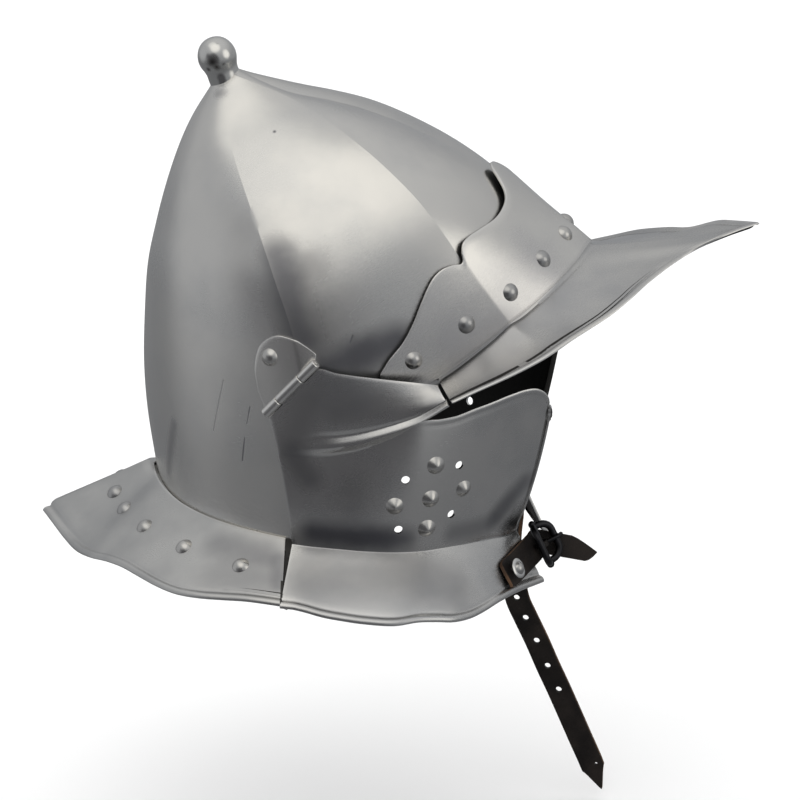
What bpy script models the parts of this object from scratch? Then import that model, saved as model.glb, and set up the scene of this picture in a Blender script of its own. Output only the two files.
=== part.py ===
import math

import bmesh
import bpy
import numpy as np
from mathutils import Matrix, Vector

# A burgonet in plate steel: six-ridged skull with a welded finial, brow plate over a peak,
# riveted neck guard, two hinged cheek pieces with flared collars, a buckle tab and a strap.
# Tables are in millimetres, the frame in metres: +X is the helmet's front, +Z is up, and -Y
# is the wearer's right.  The origin is inside the skull, level with the hinges.

MM = 0.001
GAP = 0.3                    # play between neighbouring pieces
SKULL_WALL = 1.5
PLATE_WALL = 1.4             # peak, brow plate, neck guard and cheeks
FLANGE_OUT = 0.7             # the peak's flange above the skull
BROW_OUT = FLANGE_OUT + PLATE_WALL + GAP
RIM_BEAD = 1.1               # how far the turned rims stand up
RIM_WIDTH = 5.0

# Ridge stations from the finial down to the lower edge, each an x, y, z on the wearer's right.
# Columns: front ridge, side-front ridge, side ridge, rear ridge.
SKULL_STATIONS = (
    ((-54, 0, 144.5), (-56.5, -6, 143.5), (-63, -9, 139.5), (-70.5, 0, 139)),
    ((-34, 0, 138.5), (-32, -13, 140), (-59, -27, 127.5), (-80.5, 0, 124)),
    ((-10, 0, 134), (-12, -25, 132.5), (-54, -43, 114.5), (-88, 0, 107)),
    ((14, 0, 127.5), (5, -37, 124), (-46, -59, 98.5), (-94.8, 0, 86.5)),
    ((37, 0, 118), (21, -46, 113.5), (-38, -71, 81), (-100.2, 0, 66)),
    ((60, 0, 106), (38, -55, 99.5), (-30, -82, 62.5), (-104.6, 0, 45)),
    ((80, 0, 93), (52, -61, 83.5), (-22, -90, 42), (-106.6, 0, 20)),
    ((100, 0, 77), (66, -63, 63), (-16, -95, 18), (-107.6, 0, -8)),
    ((112, 0, 68), (77, -61, 47), (-16, -97, -20), (-106.2, 0, -35)),
    ((121, 0, 60.5), (84, -59, 37), (-20, -94, -70), (-102, 0, -66)),
)
FACET_BULGE = (0.085, 0.045, 0.15)    # per sector, as a share of the chord between two ridges
SKULL_ROWS = (0, 0.7, 1.7, 2.8, 4, 5.2, 6.4, 7.3, 8, 9)
FRONT_COLUMNS = (0, 0.33, 0.67, 1, 1.25, 1.5, 1.75, 2)
REAR_COLUMNS = (2, 2.12, 2.3, 2.5, 2.7, 2.87, 3)
SIDE_CUT_ROW = 8             # where the front opening's edge meets the side ridge
SKULL_CENTRE = (-5, 0, 20)

# The finial, turned about its own axis.  Columns: radius, height above its foot.
FINIAL_FOOT = (-61.5, 0, 139.5)
FINIAL_LEAN = 19             # degrees back from upright
FINIAL_PROFILE = (
    (0, 27.2), (5, 25.9), (8.4, 22.6), (9.9, 17.6), (8.9, 13), (7.6, 9.6), (8.2, 6),
    (10.4, 2.6), (14, -1.2), (14, -3.6), (0, -3.6),
)

# The brow plate's edges.  Columns: place across the skull (0 front ridge, 1 side-front ridge,
# 2 side ridge), row of its upper edge, row of its lower edge.
BROW_EDGES = (
    (0, 5.5, 9.1), (0.08, 5.62, 9.12), (0.16, 5.85, 9.14), (0.24, 6.1, 9.16), (0.33, 6.27, 9.16),
    (0.45, 6.37, 9.14), (0.56, 6.41, 9.12), (0.66, 6.4, 9.1), (0.77, 6.37, 9.08),
    (0.87, 6.35, 9.06), (0.94, 6.38, 9.04), (0.985, 6.5, 9.02), (1.015, 6.68, 8.98),
    (1.06, 6.62, 8.9), (1.12, 6.58, 8.78), (1.18, 6.62, 8.66), (1.24, 6.74, 8.57),
    (1.31, 6.94, 8.48), (1.38, 7.17, 8.4), (1.46, 7.38, 8.3), (1.54, 7.5, 8.2),
    (1.6, 7.64, 8.12),
)
BROW_STEPS = 4
BROW_RIVETS = ((0.14, 8.0), (0.49, 7.98), (0.87, 8.0), (1.15, 7.88), (1.43, 7.78))

# The peak.  Columns: place across the skull, row where it bends outward, rim x, y, z.
PEAK_STATIONS = (
    (0, 9.27, 209.5, 0, 73.5), (0.06, 9.28, 199, -7.5, 71.8), (0.12, 9.29, 190, -14, 69.7),
    (0.24, 9.31, 176, -20, 64), (0.38, 9.29, 165, -32, 60), (0.54, 9.26, 153.7, -46, 54.7),
    (0.64, 9.24, 146.5, -56, 50.5), (0.77, 9.21, 135.5, -67.5, 44.2), (0.93, 9.17, 118.5, -80, 36),
    (1.05, 9.02, 105, -88.5, 28.5), (1.15, 8.83, 89, -94.5, 21), (1.25, 8.67, 71, -99.5, 13.6),
    (1.33, 8.55, 59.5, -102.5, 8.6),
)
PEAK_FLANGE_ROWS = 1.05      # how many skull rows its flange climbs under the brow plate
PEAK_STEPS = (0, 0.14, 0.4, 0.7)
PEAK_HOLLOW = 2.2            # sag of its top face between brow and rim

# The neck guard.  Columns: place across the skull (2 side ridge, 3 rear ridge), rim x, y, z.
NECK_STATIONS = (
    (2.05, -24.5, -129, -91.5), (2.12, -33, -127.5, -91), (2.2, -43, -125, -91),
    (2.29, -55, -121.5, -92), (2.38, -67, -117.5, -93), (2.47, -79, -111, -93.8),
    (2.55, -90, -102, -93.5), (2.63, -101, -90.5, -92.8), (2.7, -110.5, -79.5, -92.6),
    (2.77, -120, -69.5, -93.6), (2.83, -130, -59.5, -95.6), (2.89, -139.5, -43.5, -98.4),
    (2.94, -148.5, -26, -98.6), (2.975, -156, -12, -97), (3, -163, 0, -94.5),
)
NECK_STEPS = (0, 0.35, 0.7)
NECK_KEEL = 3.0              # the crease along its middle
NECK_FLANGE = 31             # the skull's own flange below it
NECK_RIVETS = (2.22, 2.49, 2.72, 2.88, 2.955)
NECK_RIVET_REACH = 25

# The cheek piece on the wearer's right.  Band above its crease: top edge and crease, x, y, z.
CHEEK_BAND_TOP = (
    (-33.4, -94.6, -2.2), (-20.8, -96.6, 11), (-9.2, -98, 22.6), (2, -98.2, 21),
    (14, -97.9, 19.5), (30, -96.4, 17.5), (43, -94.6, 15.8), (51.5, -92.4, 14.2),
)
CHEEK_BAND_CREASE = (
    (-28, -97.4, -20), (-18, -98.8, -19.6), (-7, -99.8, -18.6), (2, -100.5, -17.2),
    (14, -101.4, -14.2), (29, -102, -8.6), (43.5, -102.5, -1.8), (57.4, -104, 8.2),
)
# Face of the cheek: top edge, collar line and collar rim, x, y, z, from its rear to its front.
CHEEK_FACE_TOP = (
    (-27.6, -97.6, -22.5), (-17.5, -98.5, -23.5), (-6.5, -98.4, -23.2), (2.5, -98.1, -21.8),
    (14.5, -98, -18.6), (29.5, -97.4, -12.6), (43.5, -96, -4.6), (53, -92, -4),
    (61, -88.2, -3), (69, -84, -0.8), (77, -79.5, 1), (86, -73.8, 3.2), (94.5, -68, 4.5),
    (100.5, -63.4, 3.6), (104.8, -60, 0.2), (107, -58, -5.5),
)
CHEEK_COLLAR_LINE = (
    (-21.4, -96.2, -71), (-12, -97, -71.8), (-3, -97.6, -72.2), (5, -98, -72.6),
    (15, -98.2, -73.1), (29, -96.4, -74), (41, -92.9, -74.6), (49, -88.6, -75),
    (57, -82, -75.8), (64, -75, -77), (70.5, -67, -78.4), (77, -58, -80.2),
    (82, -50.5, -81.8), (85.2, -44.5, -82.8), (87.4, -40, -83.2), (88.8, -36.5, -83.2),
)
CHEEK_COLLAR_RIM = (
    (-23, -129.6, -91.8), (-13, -130.8, -93.4), (-3.5, -132, -95.5), (6, -132.4, -97),
    (18, -132.4, -98.5), (32.5, -131, -99.6), (44, -126, -99.4), (53, -121, -100.9),
    (61.5, -115, -103.2), (69, -105.5, -105), (75.5, -94.5, -105.6), (82, -81, -106),
    (88, -66, -107.8), (93.2, -52, -110.3), (98, -42, -112), (103, -33, -113.2),
)
CHEEK_FACE_BULGE = 2.4
CHEEK_FACE_STEPS = (0, 0.3, 0.6, 1)
CHEEK_COLLAR_STEPS = (0.1, 0.5)
CHEEK_FRONT_FLARE = 1.6      # the turned line along its front edge
BREATH_BOSSES = ((50.8, -27.9), (48.3, -45.7), (64.2, -43.5), (30.6, -48.2), (46.3, -61.9))
BREATH_HOLES = ((36, -34.5), (62.2, -29.9), (58.2, -56.6), (32.4, -61.3))
BOSS_RADIUS = 4.4
BOSS_HEIGHT = 2.8
HOLE_RADIUS = 2.2

# The cheek hinge on the wearer's right.
HINGE_LOW = (-34.5, -95, -2.2)
HINGE_HIGH = (-8.5, -98.6, 26.4)
KNUCKLE_RADIUS = 2.6
KNUCKLE_BORE = 1.35
PIN_RADIUS = 1.1
KNUCKLE_SPLITS = (0.26, 0.7)
LEAF_WALL = 1.2
LEAF_GAP = 0.4                # the leaf is flatter than the skull under it
# The skull leaf's outline.  Columns: place across the skull and row, at the barrel then at its arc.
LEAF_STATIONS = (
    (2.13, 7.5, 2.16, 7.2), (2.1, 7.4, 2.165, 6.8), (2.06, 7.28, 2.13, 6.36),
    (2.02, 7.15, 2.06, 6.16), (1.98, 7.02, 2.0, 6.26), (1.94, 6.92, 1.955, 6.48),
    (1.915, 6.86, 1.905, 6.76),
)
LEAF_RIVET = (2.1, 6.6)

RIVET_HEAD = 4.4
RIVET_RISE = 2.3
RIVET_SHANK = 1.9
RIVET_HOLE = 2.3
RIVET_TAIL = 3.2
RIVET_SIDES = 7

# Leather and buckle on the wearer's right.  Lengths along the tab run from its rivet.
TAB_RIVET = (86.3, -97.5)            # x and z on the collar
BUCKLE_SPOT = (98.1, -30.1, -94.6)     # below the buckle's bar
TAB_WIDTH = 14.5
TAB_TWIST = 0.06              # turns its plane to suit the hollow collar
TAB_LEATHER = 1.5
TAB_TAIL = 7.8
UNDERLAY_LEATHER = 1.6
UNDERLAY_WIDTH = 15
UNDERLAY_TIP = (130, -18, -101.6)
LAYER_GAP = 0.16
STACK_LIFT = 0.85            # clear of the collar below the underlay
TAIL_LIFT = 1.0              # its tail end follows the collar upward
TAIL_TILT = 0.06
BAR_RADIUS = 1.3
BUCKLE_WIRE = 1.4
BUCKLE_HALF_WIDTH = 10.4
BUCKLE_HALF_LENGTH = 9
BUCKLE_BOW = 4.5
KNOB_RADIUS = 2.1
PRONG_RADIUS = 0.9
PRONG_RING_HALF = 0.95
PRONG_REACH = 11
WASHER_RADIUS = 5.2
WASHER_WALL = 0.8
STRAP_RIVET_HEAD = 3.2

# The long strap, riveted under the left collar.  Columns: x, y, z of its middle line.
STRAP_PATH = (
    (84.4, 48.5, -121), (83.8, 48, -133), (84.1, 47.5, -144), (86.2, 46.8, -155), (90.7, 46, -165),
    (96.8, 45, -177.7), (102.9, 44, -191.7), (109.1, 43, -205), (115, 42.4, -218.5), (120.8, 42, -232),
    (126.4, 42, -245),
)
STRAP_TIP = (133.2, 42, -262.5)
STRAP_WIDTH = 13
STRAP_LEATHER = 2.2
STRAP_ROOT = 9
STRAP_ROOT_GAP = 0.6
STRAP_ROOT_TILT = 0.085       # follows the hollow collar sideways
STRAP_HOLES = ((85.7, 46.9, -153.8), (90.7, 46, -165), (96.8, 45, -177.7), (102.9, 44, -191.7), (109.1, 43, -205))
STRAP_END_HOLE = (130, 42, -247.5)


materials = {}


def material(name, color, metallic, roughness):
    if name not in materials:
        made = bpy.data.materials.new(name)
        made.use_nodes = True
        shader = made.node_tree.nodes["Principled BSDF"]
        shader.inputs["Base Color"].default_value = (*color, 1)
        shader.inputs["Metallic"].default_value = metallic
        shader.inputs["Roughness"].default_value = roughness
        materials[name] = made
    return materials[name]


def steel():
    return material("satin_steel", (0.56, 0.55, 0.53), 1.0, 0.3)


def rivet_steel():
    return material("rivet_steel", (0.5, 0.49, 0.47), 1.0, 0.28)


def black_iron():
    return material("blackened_iron", (0.03, 0.03, 0.032), 0.6, 0.45)


def leather():
    return material("dark_leather", (0.035, 0.024, 0.018), 0.0, 0.6)


def washer_steel():
    return material("bright_washer", (0.7, 0.69, 0.67), 1.0, 0.22)


def ridge(column, row):
    table = np.array(SKULL_STATIONS, float)[:, column]
    last = len(table) - 1
    low = int(min(max(math.floor(row), 0), last - 1))
    f = row - low
    a, b = table[low], table[low + 1]
    before = table[low - 1] if low > 0 else 2 * a - b
    after = table[low + 2] if low < last - 1 else 2 * b - a
    leave, arrive = (b - before) / 2, (after - a) / 2
    return ((2 * f ** 3 - 3 * f ** 2 + 1) * a + (f ** 3 - 2 * f ** 2 + f) * leave
            + (3 * f ** 2 - 2 * f ** 3) * b + (f ** 3 - f ** 2) * arrive)


def skin(across, row, out=0.0):
    # a point of the skull's outer face, or one that stands out from it along its normal
    sector = int(min(max(math.floor(across), 0), 2))
    s = across - sector
    a, b = ridge(sector, row), ridge(sector + 1, row)
    down = ((ridge(sector, row + 0.05) - ridge(sector, row - 0.05)) * (1 - s)
            + (ridge(sector + 1, row + 0.05) - ridge(sector + 1, row - 0.05)) * s)
    chord = b - a
    normal = np.cross(chord, down)
    normal /= np.linalg.norm(normal)
    point = a + chord * s
    if normal @ (point - np.array(SKULL_CENTRE, float)) < 0:
        normal = -normal
    point = point + normal * (FACET_BULGE[sector] * np.linalg.norm(chord) * 4 * s * (1 - s))
    if out:
        point = point + skin_normal(across, row) * out
    return point


def skin_normal(across, row):
    step = 0.02
    left, right = max(across - step, 0), min(across + step, 3)
    sideways = skin(right, row) - skin(left, row)
    down = skin(across, row + step) - skin(across, row - step)
    if left == 0 or right == 3:
        # on the middle plane the two halves share one normal
        down[1] = 0
        sideways[0] = sideways[2] = 0
    normal = np.cross(sideways, down)
    normal /= np.linalg.norm(normal)
    centre = np.array(SKULL_CENTRE, float)
    if normal @ (skin(across, row) - centre) < 0:
        normal = -normal
    return normal


def unit(vector):
    vector = np.array(vector, float)
    return vector / np.linalg.norm(vector)


def add_object(name, mesh, surface):
    made = bpy.data.objects.new(name, mesh)
    collection.objects.link(made)
    mesh.materials.append(surface)
    return made


def grid_mesh(name, grids):
    # one open surface from one or more grids of points, welded where they meet
    work = bmesh.new()
    for rows in grids:
        made = [[work.verts.new(Vector(p) * MM) for p in row] for row in rows]
        for upper, lower in zip(made, made[1:]):
            for k in range(len(upper) - 1):
                work.faces.new((upper[k], lower[k], lower[k + 1], upper[k + 1]))
    bmesh.ops.remove_doubles(work, verts=work.verts, dist=0.02 * MM)
    bmesh.ops.dissolve_degenerate(work, edges=work.edges, dist=0.01 * MM)
    bmesh.ops.recalc_face_normals(work, faces=work.faces)
    mesh = bpy.data.meshes.new(name)
    work.to_mesh(mesh)
    work.free()
    return mesh


def face_outward(plate, away_from):
    # the open surface's normals point away from a given point, in mm
    mesh = plate.data
    centre = Vector(away_from) * MM
    score = sum((p.center - centre).dot(p.normal) * p.area for p in mesh.polygons)
    if score < 0:
        mesh.flip_normals()


def apply_modifiers(target):
    depsgraph = bpy.context.evaluated_depsgraph_get()
    mesh = bpy.data.meshes.new_from_object(target.evaluated_get(depsgraph))
    surface = target.data.materials[0]
    old = target.data
    target.modifiers.clear()
    target.data = mesh
    mesh.name = old.name
    if not mesh.materials:
        mesh.materials.append(surface)
    bpy.data.meshes.remove(old)
    return target


def plate(name, grids, wall, surface, away_from, mirrored):
    made = add_object(name, grid_mesh(name, grids), surface)
    face_outward(made, away_from)
    if mirrored:
        mirror = made.modifiers.new("other_half", "MIRROR")
        mirror.use_axis = (False, True, False)
        mirror.use_clip = True
        mirror.merge_threshold = 0.05 * MM
    thick = made.modifiers.new("wall", "SOLIDIFY")
    thick.thickness = wall * MM
    thick.offset = -1
    thick.use_even_offset = True
    thick.thickness_clamp = 0
    return apply_modifiers(made)


def frame_to(origin, axis, up=(0, 0, 1)):
    z = Vector(axis).normalized()
    x = Vector(up).cross(z)
    if x.length < 1e-4:
        x = Vector((1, 0, 0))
    x.normalize()
    y = z.cross(x)
    m = Matrix((x, y, z)).transposed().to_4x4()
    m.translation = Vector(origin) * MM
    return m


def turned(name, profile, segments, placement, surface):
    # a closed turned solid from radius and height pairs, outer side listed from top to bottom
    mesh = bpy.data.meshes.new(name)
    mesh.from_pydata([(r * MM, 0, h * MM) for r, h in profile], [(i, i + 1) for i in range(len(profile) - 1)], [])
    made = add_object(name, mesh, surface)
    screw = made.modifiers.new("turn", "SCREW")
    screw.axis = "Z"
    screw.steps = screw.render_steps = segments
    screw.use_merge_vertices = True
    screw.merge_threshold = 0.00001
    screw.use_normal_calculate = True
    apply_modifiers(made)
    work = bmesh.new()
    work.from_mesh(made.data)
    bmesh.ops.remove_doubles(work, verts=work.verts, dist=0.005 * MM)
    bmesh.ops.recalc_face_normals(work, faces=work.faces)
    work.to_mesh(made.data)
    work.free()
    made.data.transform(placement)
    return made


def rod(name, start, end, radius, segments, surface, overlap=0.0):
    a, b = np.array(start, float), np.array(end, float)
    way = unit(b - a)
    a, b = a - way * overlap, b + way * overlap
    length = float(np.linalg.norm(b - a))
    return turned(name, ((0, length), (radius, length), (radius, 0), (0, 0)), segments,
                  frame_to(a, b - a), surface)


def join(target, cutter, operation):
    tool = target.modifiers.new("join", "BOOLEAN")
    tool.operation = operation
    tool.solver = "EXACT"
    tool.object = cutter
    apply_modifiers(target)
    bpy.data.objects.remove(cutter)
    work = bmesh.new()
    work.from_mesh(target.data)
    bmesh.ops.remove_doubles(work, verts=work.verts, dist=0.004 * MM)
    bmesh.ops.dissolve_degenerate(work, edges=work.edges, dist=0.004 * MM)
    work.to_mesh(target.data)
    work.free()
    return target


def cut(target, cutter):
    return join(target, cutter, "DIFFERENCE")


def weld(target, other):
    return join(target, other, "UNION")


def mirrored_copy(source, name):
    mesh = source.data.copy()
    mesh.name = name
    mesh.transform(Matrix.Diagonal((1, -1, 1, 1)))
    mesh.flip_normals()
    made = bpy.data.objects.new(name, mesh)
    collection.objects.link(made)
    return made


def rim_rows(inner, rim, steps, side, sag=0.0):
    # rows from an inner line out to a rim, with the turned bead along that rim
    rows = []
    inner, rim = [np.array(p, float) for p in inner], [np.array(p, float) for p in rim]
    ups = []
    for k, (a, b) in enumerate(zip(inner, rim)):
        before, after = rim[max(k - 1, 0)], rim[min(k + 1, len(rim) - 1)]
        up = np.cross(after - before, b - a)
        up = unit(up) if np.linalg.norm(up) > 1e-6 else np.array((0, 0, 1.0))
        ups.append(up * (1 if up @ np.array(side, float) > 0 else -1))
    for step in steps:
        rows.append([a + (b - a) * step - up * (sag * 4 * step * (1 - step))
                     for a, b, up in zip(inner, rim, ups)])
    for back, rise in ((RIM_WIDTH, -0.15), (RIM_WIDTH * 0.5, RIM_BEAD), (0, -0.2)):
        row = []
        for a, b, up in zip(inner, rim, ups):
            length = np.linalg.norm(b - a)
            share = max(1 - back / length, 0.5)
            row.append(a + (b - a) * share + up * rise - up * (sag * 4 * share * (1 - share)))
        rows.append(row)
    return rows


def between(stations, column, where):
    places = [s[0] for s in stations]
    values = [s[column] for s in stations]
    return float(np.interp(where, places, values))


def rivet(name, foot, way, reach, surface, head=RIVET_HEAD):
    # dome outside, shank through the plates, flat tail inside; the foot is on the outer plate
    rise = RIVET_RISE * head / RIVET_HEAD
    profile = (
        (0, rise), (head * 0.6, rise * 0.8), (head, 0.2), (RIVET_SHANK, 0.2),
        (RIVET_SHANK, -reach - 1.3), (RIVET_TAIL, -reach - 1.3), (0, -reach - 2.1),
    )
    return turned(name, profile, RIVET_SIDES, frame_to(foot, way), surface)


def drill(target, foot, way, deep, radius=RIVET_HOLE, high=4.0, segments=6):
    way = unit(way)
    foot = np.array(foot, float)
    return cut(target, rod("drill", foot - way * deep, foot + way * high, radius, segments, steel()))


def skull_grids():
    # the front sectors end at the cut for the face, the rear ones run down to the neck flange
    front, rear = [], []
    for row in SKULL_ROWS:
        points = []
        for across in FRONT_COLUMNS:
            here = row
            if row > SIDE_CUT_ROW and across > 1:
                here = SIDE_CUT_ROW + (row - SIDE_CUT_ROW) * (2 - across)
            points.append(skin(across, here))
        front.append(points)
        rear.append([skin(across, row) for across in REAR_COLUMNS])
    for reach in (2.5, NECK_FLANGE):
        rear.append([neck_point(max(across, 2.04), reach, -0.06 * reach) for across in REAR_COLUMNS])
    return [front, rear]


def neck_point(where, reach, above):
    inner = skin(where, 9)
    rim = np.array([between(NECK_STATIONS, k, where) for k in (1, 2, 3)])
    way = unit(rim - inner)
    side = neck_up(where)
    return inner + way * reach + side * above


def neck_up(where):
    rim = np.array([between(NECK_STATIONS, k, where) for k in (1, 2, 3)])
    inner = skin(where, 9)
    a, b = max(where - 0.03, 2.05), min(where + 0.03, 3)
    along = np.array([between(NECK_STATIONS, k, b) - between(NECK_STATIONS, k, a) for k in (1, 2, 3)])
    up = np.cross(along, rim - inner)
    if where >= 2.995:
        up[1] = 0
    up = unit(up)
    return up if up[2] > 0 else -up


def build_skull():
    made = plate("skull", skull_grids(), SKULL_WALL, steel(), SKULL_CENTRE, True)
    lean = math.radians(FINIAL_LEAN)
    axis = (-math.sin(lean), 0, math.cos(lean))
    finial = turned("finial", FINIAL_PROFILE, 16, frame_to(FINIAL_FOOT, axis, (0, 1, 0)), steel())
    return weld(made, finial)


def build_brow_plate():
    rows = []
    outer = BROW_OUT + PLATE_WALL
    for step in range(BROW_STEPS + 1):
        f = step / BROW_STEPS
        rows.append([skin(a, top + (low - top) * f, outer) for a, top, low in BROW_EDGES])
    return plate("brow_plate", [rows], PLATE_WALL, steel(), SKULL_CENTRE, True)


def build_peak():
    outer = FLANGE_OUT + PLATE_WALL
    bend = [skin(a, row, outer) for a, row, *_ in PEAK_STATIONS]
    rim = [(x, y, z) for _, _, x, y, z in PEAK_STATIONS]
    flange = [[skin(a, row - PEAK_FLANGE_ROWS * share, outer) for a, row, *_ in PEAK_STATIONS]
              for share in (1, 0.5)]
    rows = flange + rim_rows(bend, rim, PEAK_STEPS, (-0.3, 0, 1), PEAK_HOLLOW)
    return plate("peak", [rows], PLATE_WALL, steel(), (80, 0, -200), True)


def build_neck_guard():
    inner, rim = [], []
    for where, x, y, z in NECK_STATIONS:
        place = neck_point(where, GAP + 0.4, GAP + PLATE_WALL)
        keel = NECK_KEEL * max(0.0, 1 - (3 - where) / 0.11)
        inner.append(place)
        rim.append(np.array((x, y, z), float) + np.array((0, 0, keel * 0.4)))
    rows = rim_rows(inner, rim, NECK_STEPS, (0, 0, 1))
    for row in rows[1:-3]:
        for k, (where, *_) in enumerate(NECK_STATIONS):
            row[k] = row[k] + neck_up(where) * NECK_KEEL * max(0.0, 1 - (3 - where) / 0.11)
    return plate("neck_guard", [rows], PLATE_WALL, steel(), (-60, 0, -400), True)


def cheek_grids():
    n = len(CHEEK_BAND_TOP)
    top, crease = [np.array(p, float) for p in CHEEK_BAND_TOP], [np.array(p, float) for p in CHEEK_BAND_CREASE]
    out = np.array((0, -1, 0), float)
    band = [top]
    for f, lift in ((0.3, 0.9), (0.65, 0.8), (0.86, -0.3)):
        band.append([a + (b - a) * f + out * lift for a, b in zip(top, crease)])
    band.append([c + out * 0.5 for c in crease])
    face_top = [np.array(p, float) for p in CHEEK_FACE_TOP]
    line = [np.array(p, float) for p in CHEEK_COLLAR_LINE]
    rim = [np.array(p, float) for p in CHEEK_COLLAR_RIM]
    shared = n - 1
    neck = [band[-1][:shared], face_top[:shared]]
    face = []
    last = len(face_top) - 1
    for f in CHEEK_FACE_STEPS:
        row = []
        for k, (a, b) in enumerate(zip(face_top, line)):
            flare = CHEEK_FRONT_FLARE if k == last else 0
            side = unit((0.35 + 0.4 * k / last, -1, 0))
            row.append(a + (b - a) * f + side * (CHEEK_FACE_BULGE * 4 * f * (1 - f) + flare * (1 - f)))
        face.append(row)
    collar = rim_rows(line, rim, (0,) + CHEEK_COLLAR_STEPS, (0, 0, 1))
    return [band, neck, face, collar]


def hinge_axis(share):
    return np.array(HINGE_LOW, float) * (1 - share) + np.array(HINGE_HIGH, float) * share


def surface_hit(target, x, z):
    # where a line along Y first meets the outer face of a piece on the wearer's right
    hit, place, normal, _ = target.ray_cast(Vector((x, -200, z)) * MM, Vector((0, 1, 0)))
    if not hit:
        raise ValueError("no surface at the given place")
    return np.array(place) / MM, np.array(normal)


def build_cheek():
    made = plate("cheek_right", cheek_grids(), PLATE_WALL, steel(), (20, 0, 20), False)
    spots = [surface_hit(made, x, z) for x, z in BREATH_BOSSES]
    holes = [surface_hit(made, x, z) for x, z in BREATH_HOLES]
    for place, normal in spots:
        profile = ((0, BOSS_HEIGHT), (BOSS_RADIUS * 0.55, BOSS_HEIGHT * 0.52), (BOSS_RADIUS, -0.1),
                   (BOSS_RADIUS, -0.7), (0, -0.7))
        weld(made, turned("boss", profile, 8, frame_to(place, normal), steel()))
    for place, normal in holes:
        drill(made, place, normal, 4, HOLE_RADIUS)
    low, high = KNUCKLE_SPLITS
    for a, b in ((-0.2, low + 0.008), (high - 0.008, 1.2)):
        cut(made, rod("clear", hinge_axis(a), hinge_axis(b), KNUCKLE_RADIUS + 0.45, 12, steel()))
    weld(made, rod("knuckle", hinge_axis(low + 0.008), hinge_axis(high - 0.008), KNUCKLE_RADIUS, 12, steel()))
    cut(made, rod("bore", hinge_axis(-0.1), hinge_axis(1.1), KNUCKLE_BORE, 8, steel()))
    return made


def build_leaf():
    rows = []
    for f in (0, 0.5, 1):
        rows.append([skin(a + (c - a) * f, b + (d - b) * f, LEAF_GAP + LEAF_WALL) for a, b, c, d in LEAF_STATIONS])
    made = plate("hinge_leaf_right", [rows], LEAF_WALL, steel(), SKULL_CENTRE, False)
    low, high = KNUCKLE_SPLITS
    cut(made, rod("clear", hinge_axis(low), hinge_axis(high), KNUCKLE_RADIUS + 0.45, 12, steel()))
    for a, b in ((0, low), (high, 1)):
        weld(made, rod("knuckle", hinge_axis(a), hinge_axis(b), KNUCKLE_RADIUS, 12, steel()))
    return cut(made, rod("bore", hinge_axis(-0.1), hinge_axis(1.1), KNUCKLE_BORE, 8, steel()))


def build_pin():
    return rod("hinge_pin_right", hinge_axis(0.004), hinge_axis(0.996), PIN_RADIUS, 8, rivet_steel())


def rivet_through(name, foot, way, plates, reach):
    # drills every plate that the rivet joins, then sets the rivet
    for target in plates:
        drill(target, foot, way, reach + 3)
    return rivet(name, foot, way, reach, rivet_steel())


def both_sides(place, normal):
    flip = np.array((1, -1, 1), float)
    return (("right", place, normal), ("left", place * flip, normal * flip))


def set_brow_rivets():
    outer = BROW_OUT + PLATE_WALL
    reach = outer + SKULL_WALL
    for number, (across, row) in enumerate(BROW_RIVETS, 1):
        for side, place, normal in both_sides(skin(across, row, outer), skin_normal(across, row)):
            rivet_through(f"brow_rivet_{side}_{number}", place, normal, (brow_plate, peak, skull), reach)


def set_neck_rivets():
    for number, where in enumerate(NECK_RIVETS, 1):
        inner = skin(where, 9)
        rim = np.array([between(NECK_STATIONS, k, where) for k in (1, 2, 3)])
        reach = NECK_RIVET_REACH
        keel = NECK_KEEL * max(0.0, 1 - (3 - where) / 0.11)
        share = reach / np.linalg.norm(rim - inner)
        top = neck_point(where, reach, (GAP + PLATE_WALL) * (1 - share) + 0.15 + keel * 1.4)
        for side, place, normal in both_sides(top, neck_up(where)):
            rivet_through(f"neck_rivet_{side}_{number}", place, normal, (neck_guard, skull),
                          4.1 + keel)


def frame_of_tab():
    # rivet place on the collar, then the directions along, across and off the tab
    x, z = TAB_RIVET
    place, normal = surface_hit(cheek_right, x, z)
    along = unit(np.array(BUCKLE_SPOT) - place)
    off = unit(normal - along * (normal @ along))
    off = unit(off + np.cross(off, along) * TAB_TWIST)
    return place, along, unit(np.cross(off, along)), off


def strip(name, path, width, wall, away_from, tip=None):
    # a leather strip: centre line points with their across directions, and a pointed end
    rows = [[p + side * width / 2, p, p - side * width / 2] for p, side in path]
    if tip is not None:
        end = np.array(tip, float)
        side = path[-1][1]
        rows.append([end + side * 0.6, end, end - side * 0.6])
    return plate(name, [rows], wall, leather(), away_from, False)


def tail_row(place, side):
    off = tab[3]
    return place + off * TAIL_LIFT, unit(side - off * TAIL_TILT)


def build_tab():
    place, along, side, off = tab
    length = float(np.linalg.norm(np.array(BUCKLE_SPOT) - place))
    middle = STACK_LIFT + UNDERLAY_LEATHER + LAYER_GAP + TAB_LEATHER + LAYER_GAP / 2
    tight = LAYER_GAP / 2 + TAB_LEATHER
    wide = BAR_RADIUS + GAP + TAB_LEATHER
    upper = [(-TAB_TAIL, tight), (-5.6, tight), (5.6, tight), (length - 5, wide - 0.25)]
    bend = [(length + wide * math.sin(a), wide * math.cos(a)) for a in np.radians(range(0, 181, 45))]
    lower = [(s, -h) for s, h in reversed(upper)]
    path = [(place + along * s + off * (middle + h), side) for s, h in upper + bend + lower]
    path[0], path[-1] = tail_row(*path[0]), tail_row(*path[-1])
    made = strip("buckle_tab", path, TAB_WIDTH, TAB_LEATHER, (0, 0, 0))
    bar = place + along * length + off * middle
    half = PRONG_RING_HALF + 0.4
    cut(made, rod("slot", bar - side * half, bar + side * half, wide + 0.7, 10, leather()))
    return made, bar, middle


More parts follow.
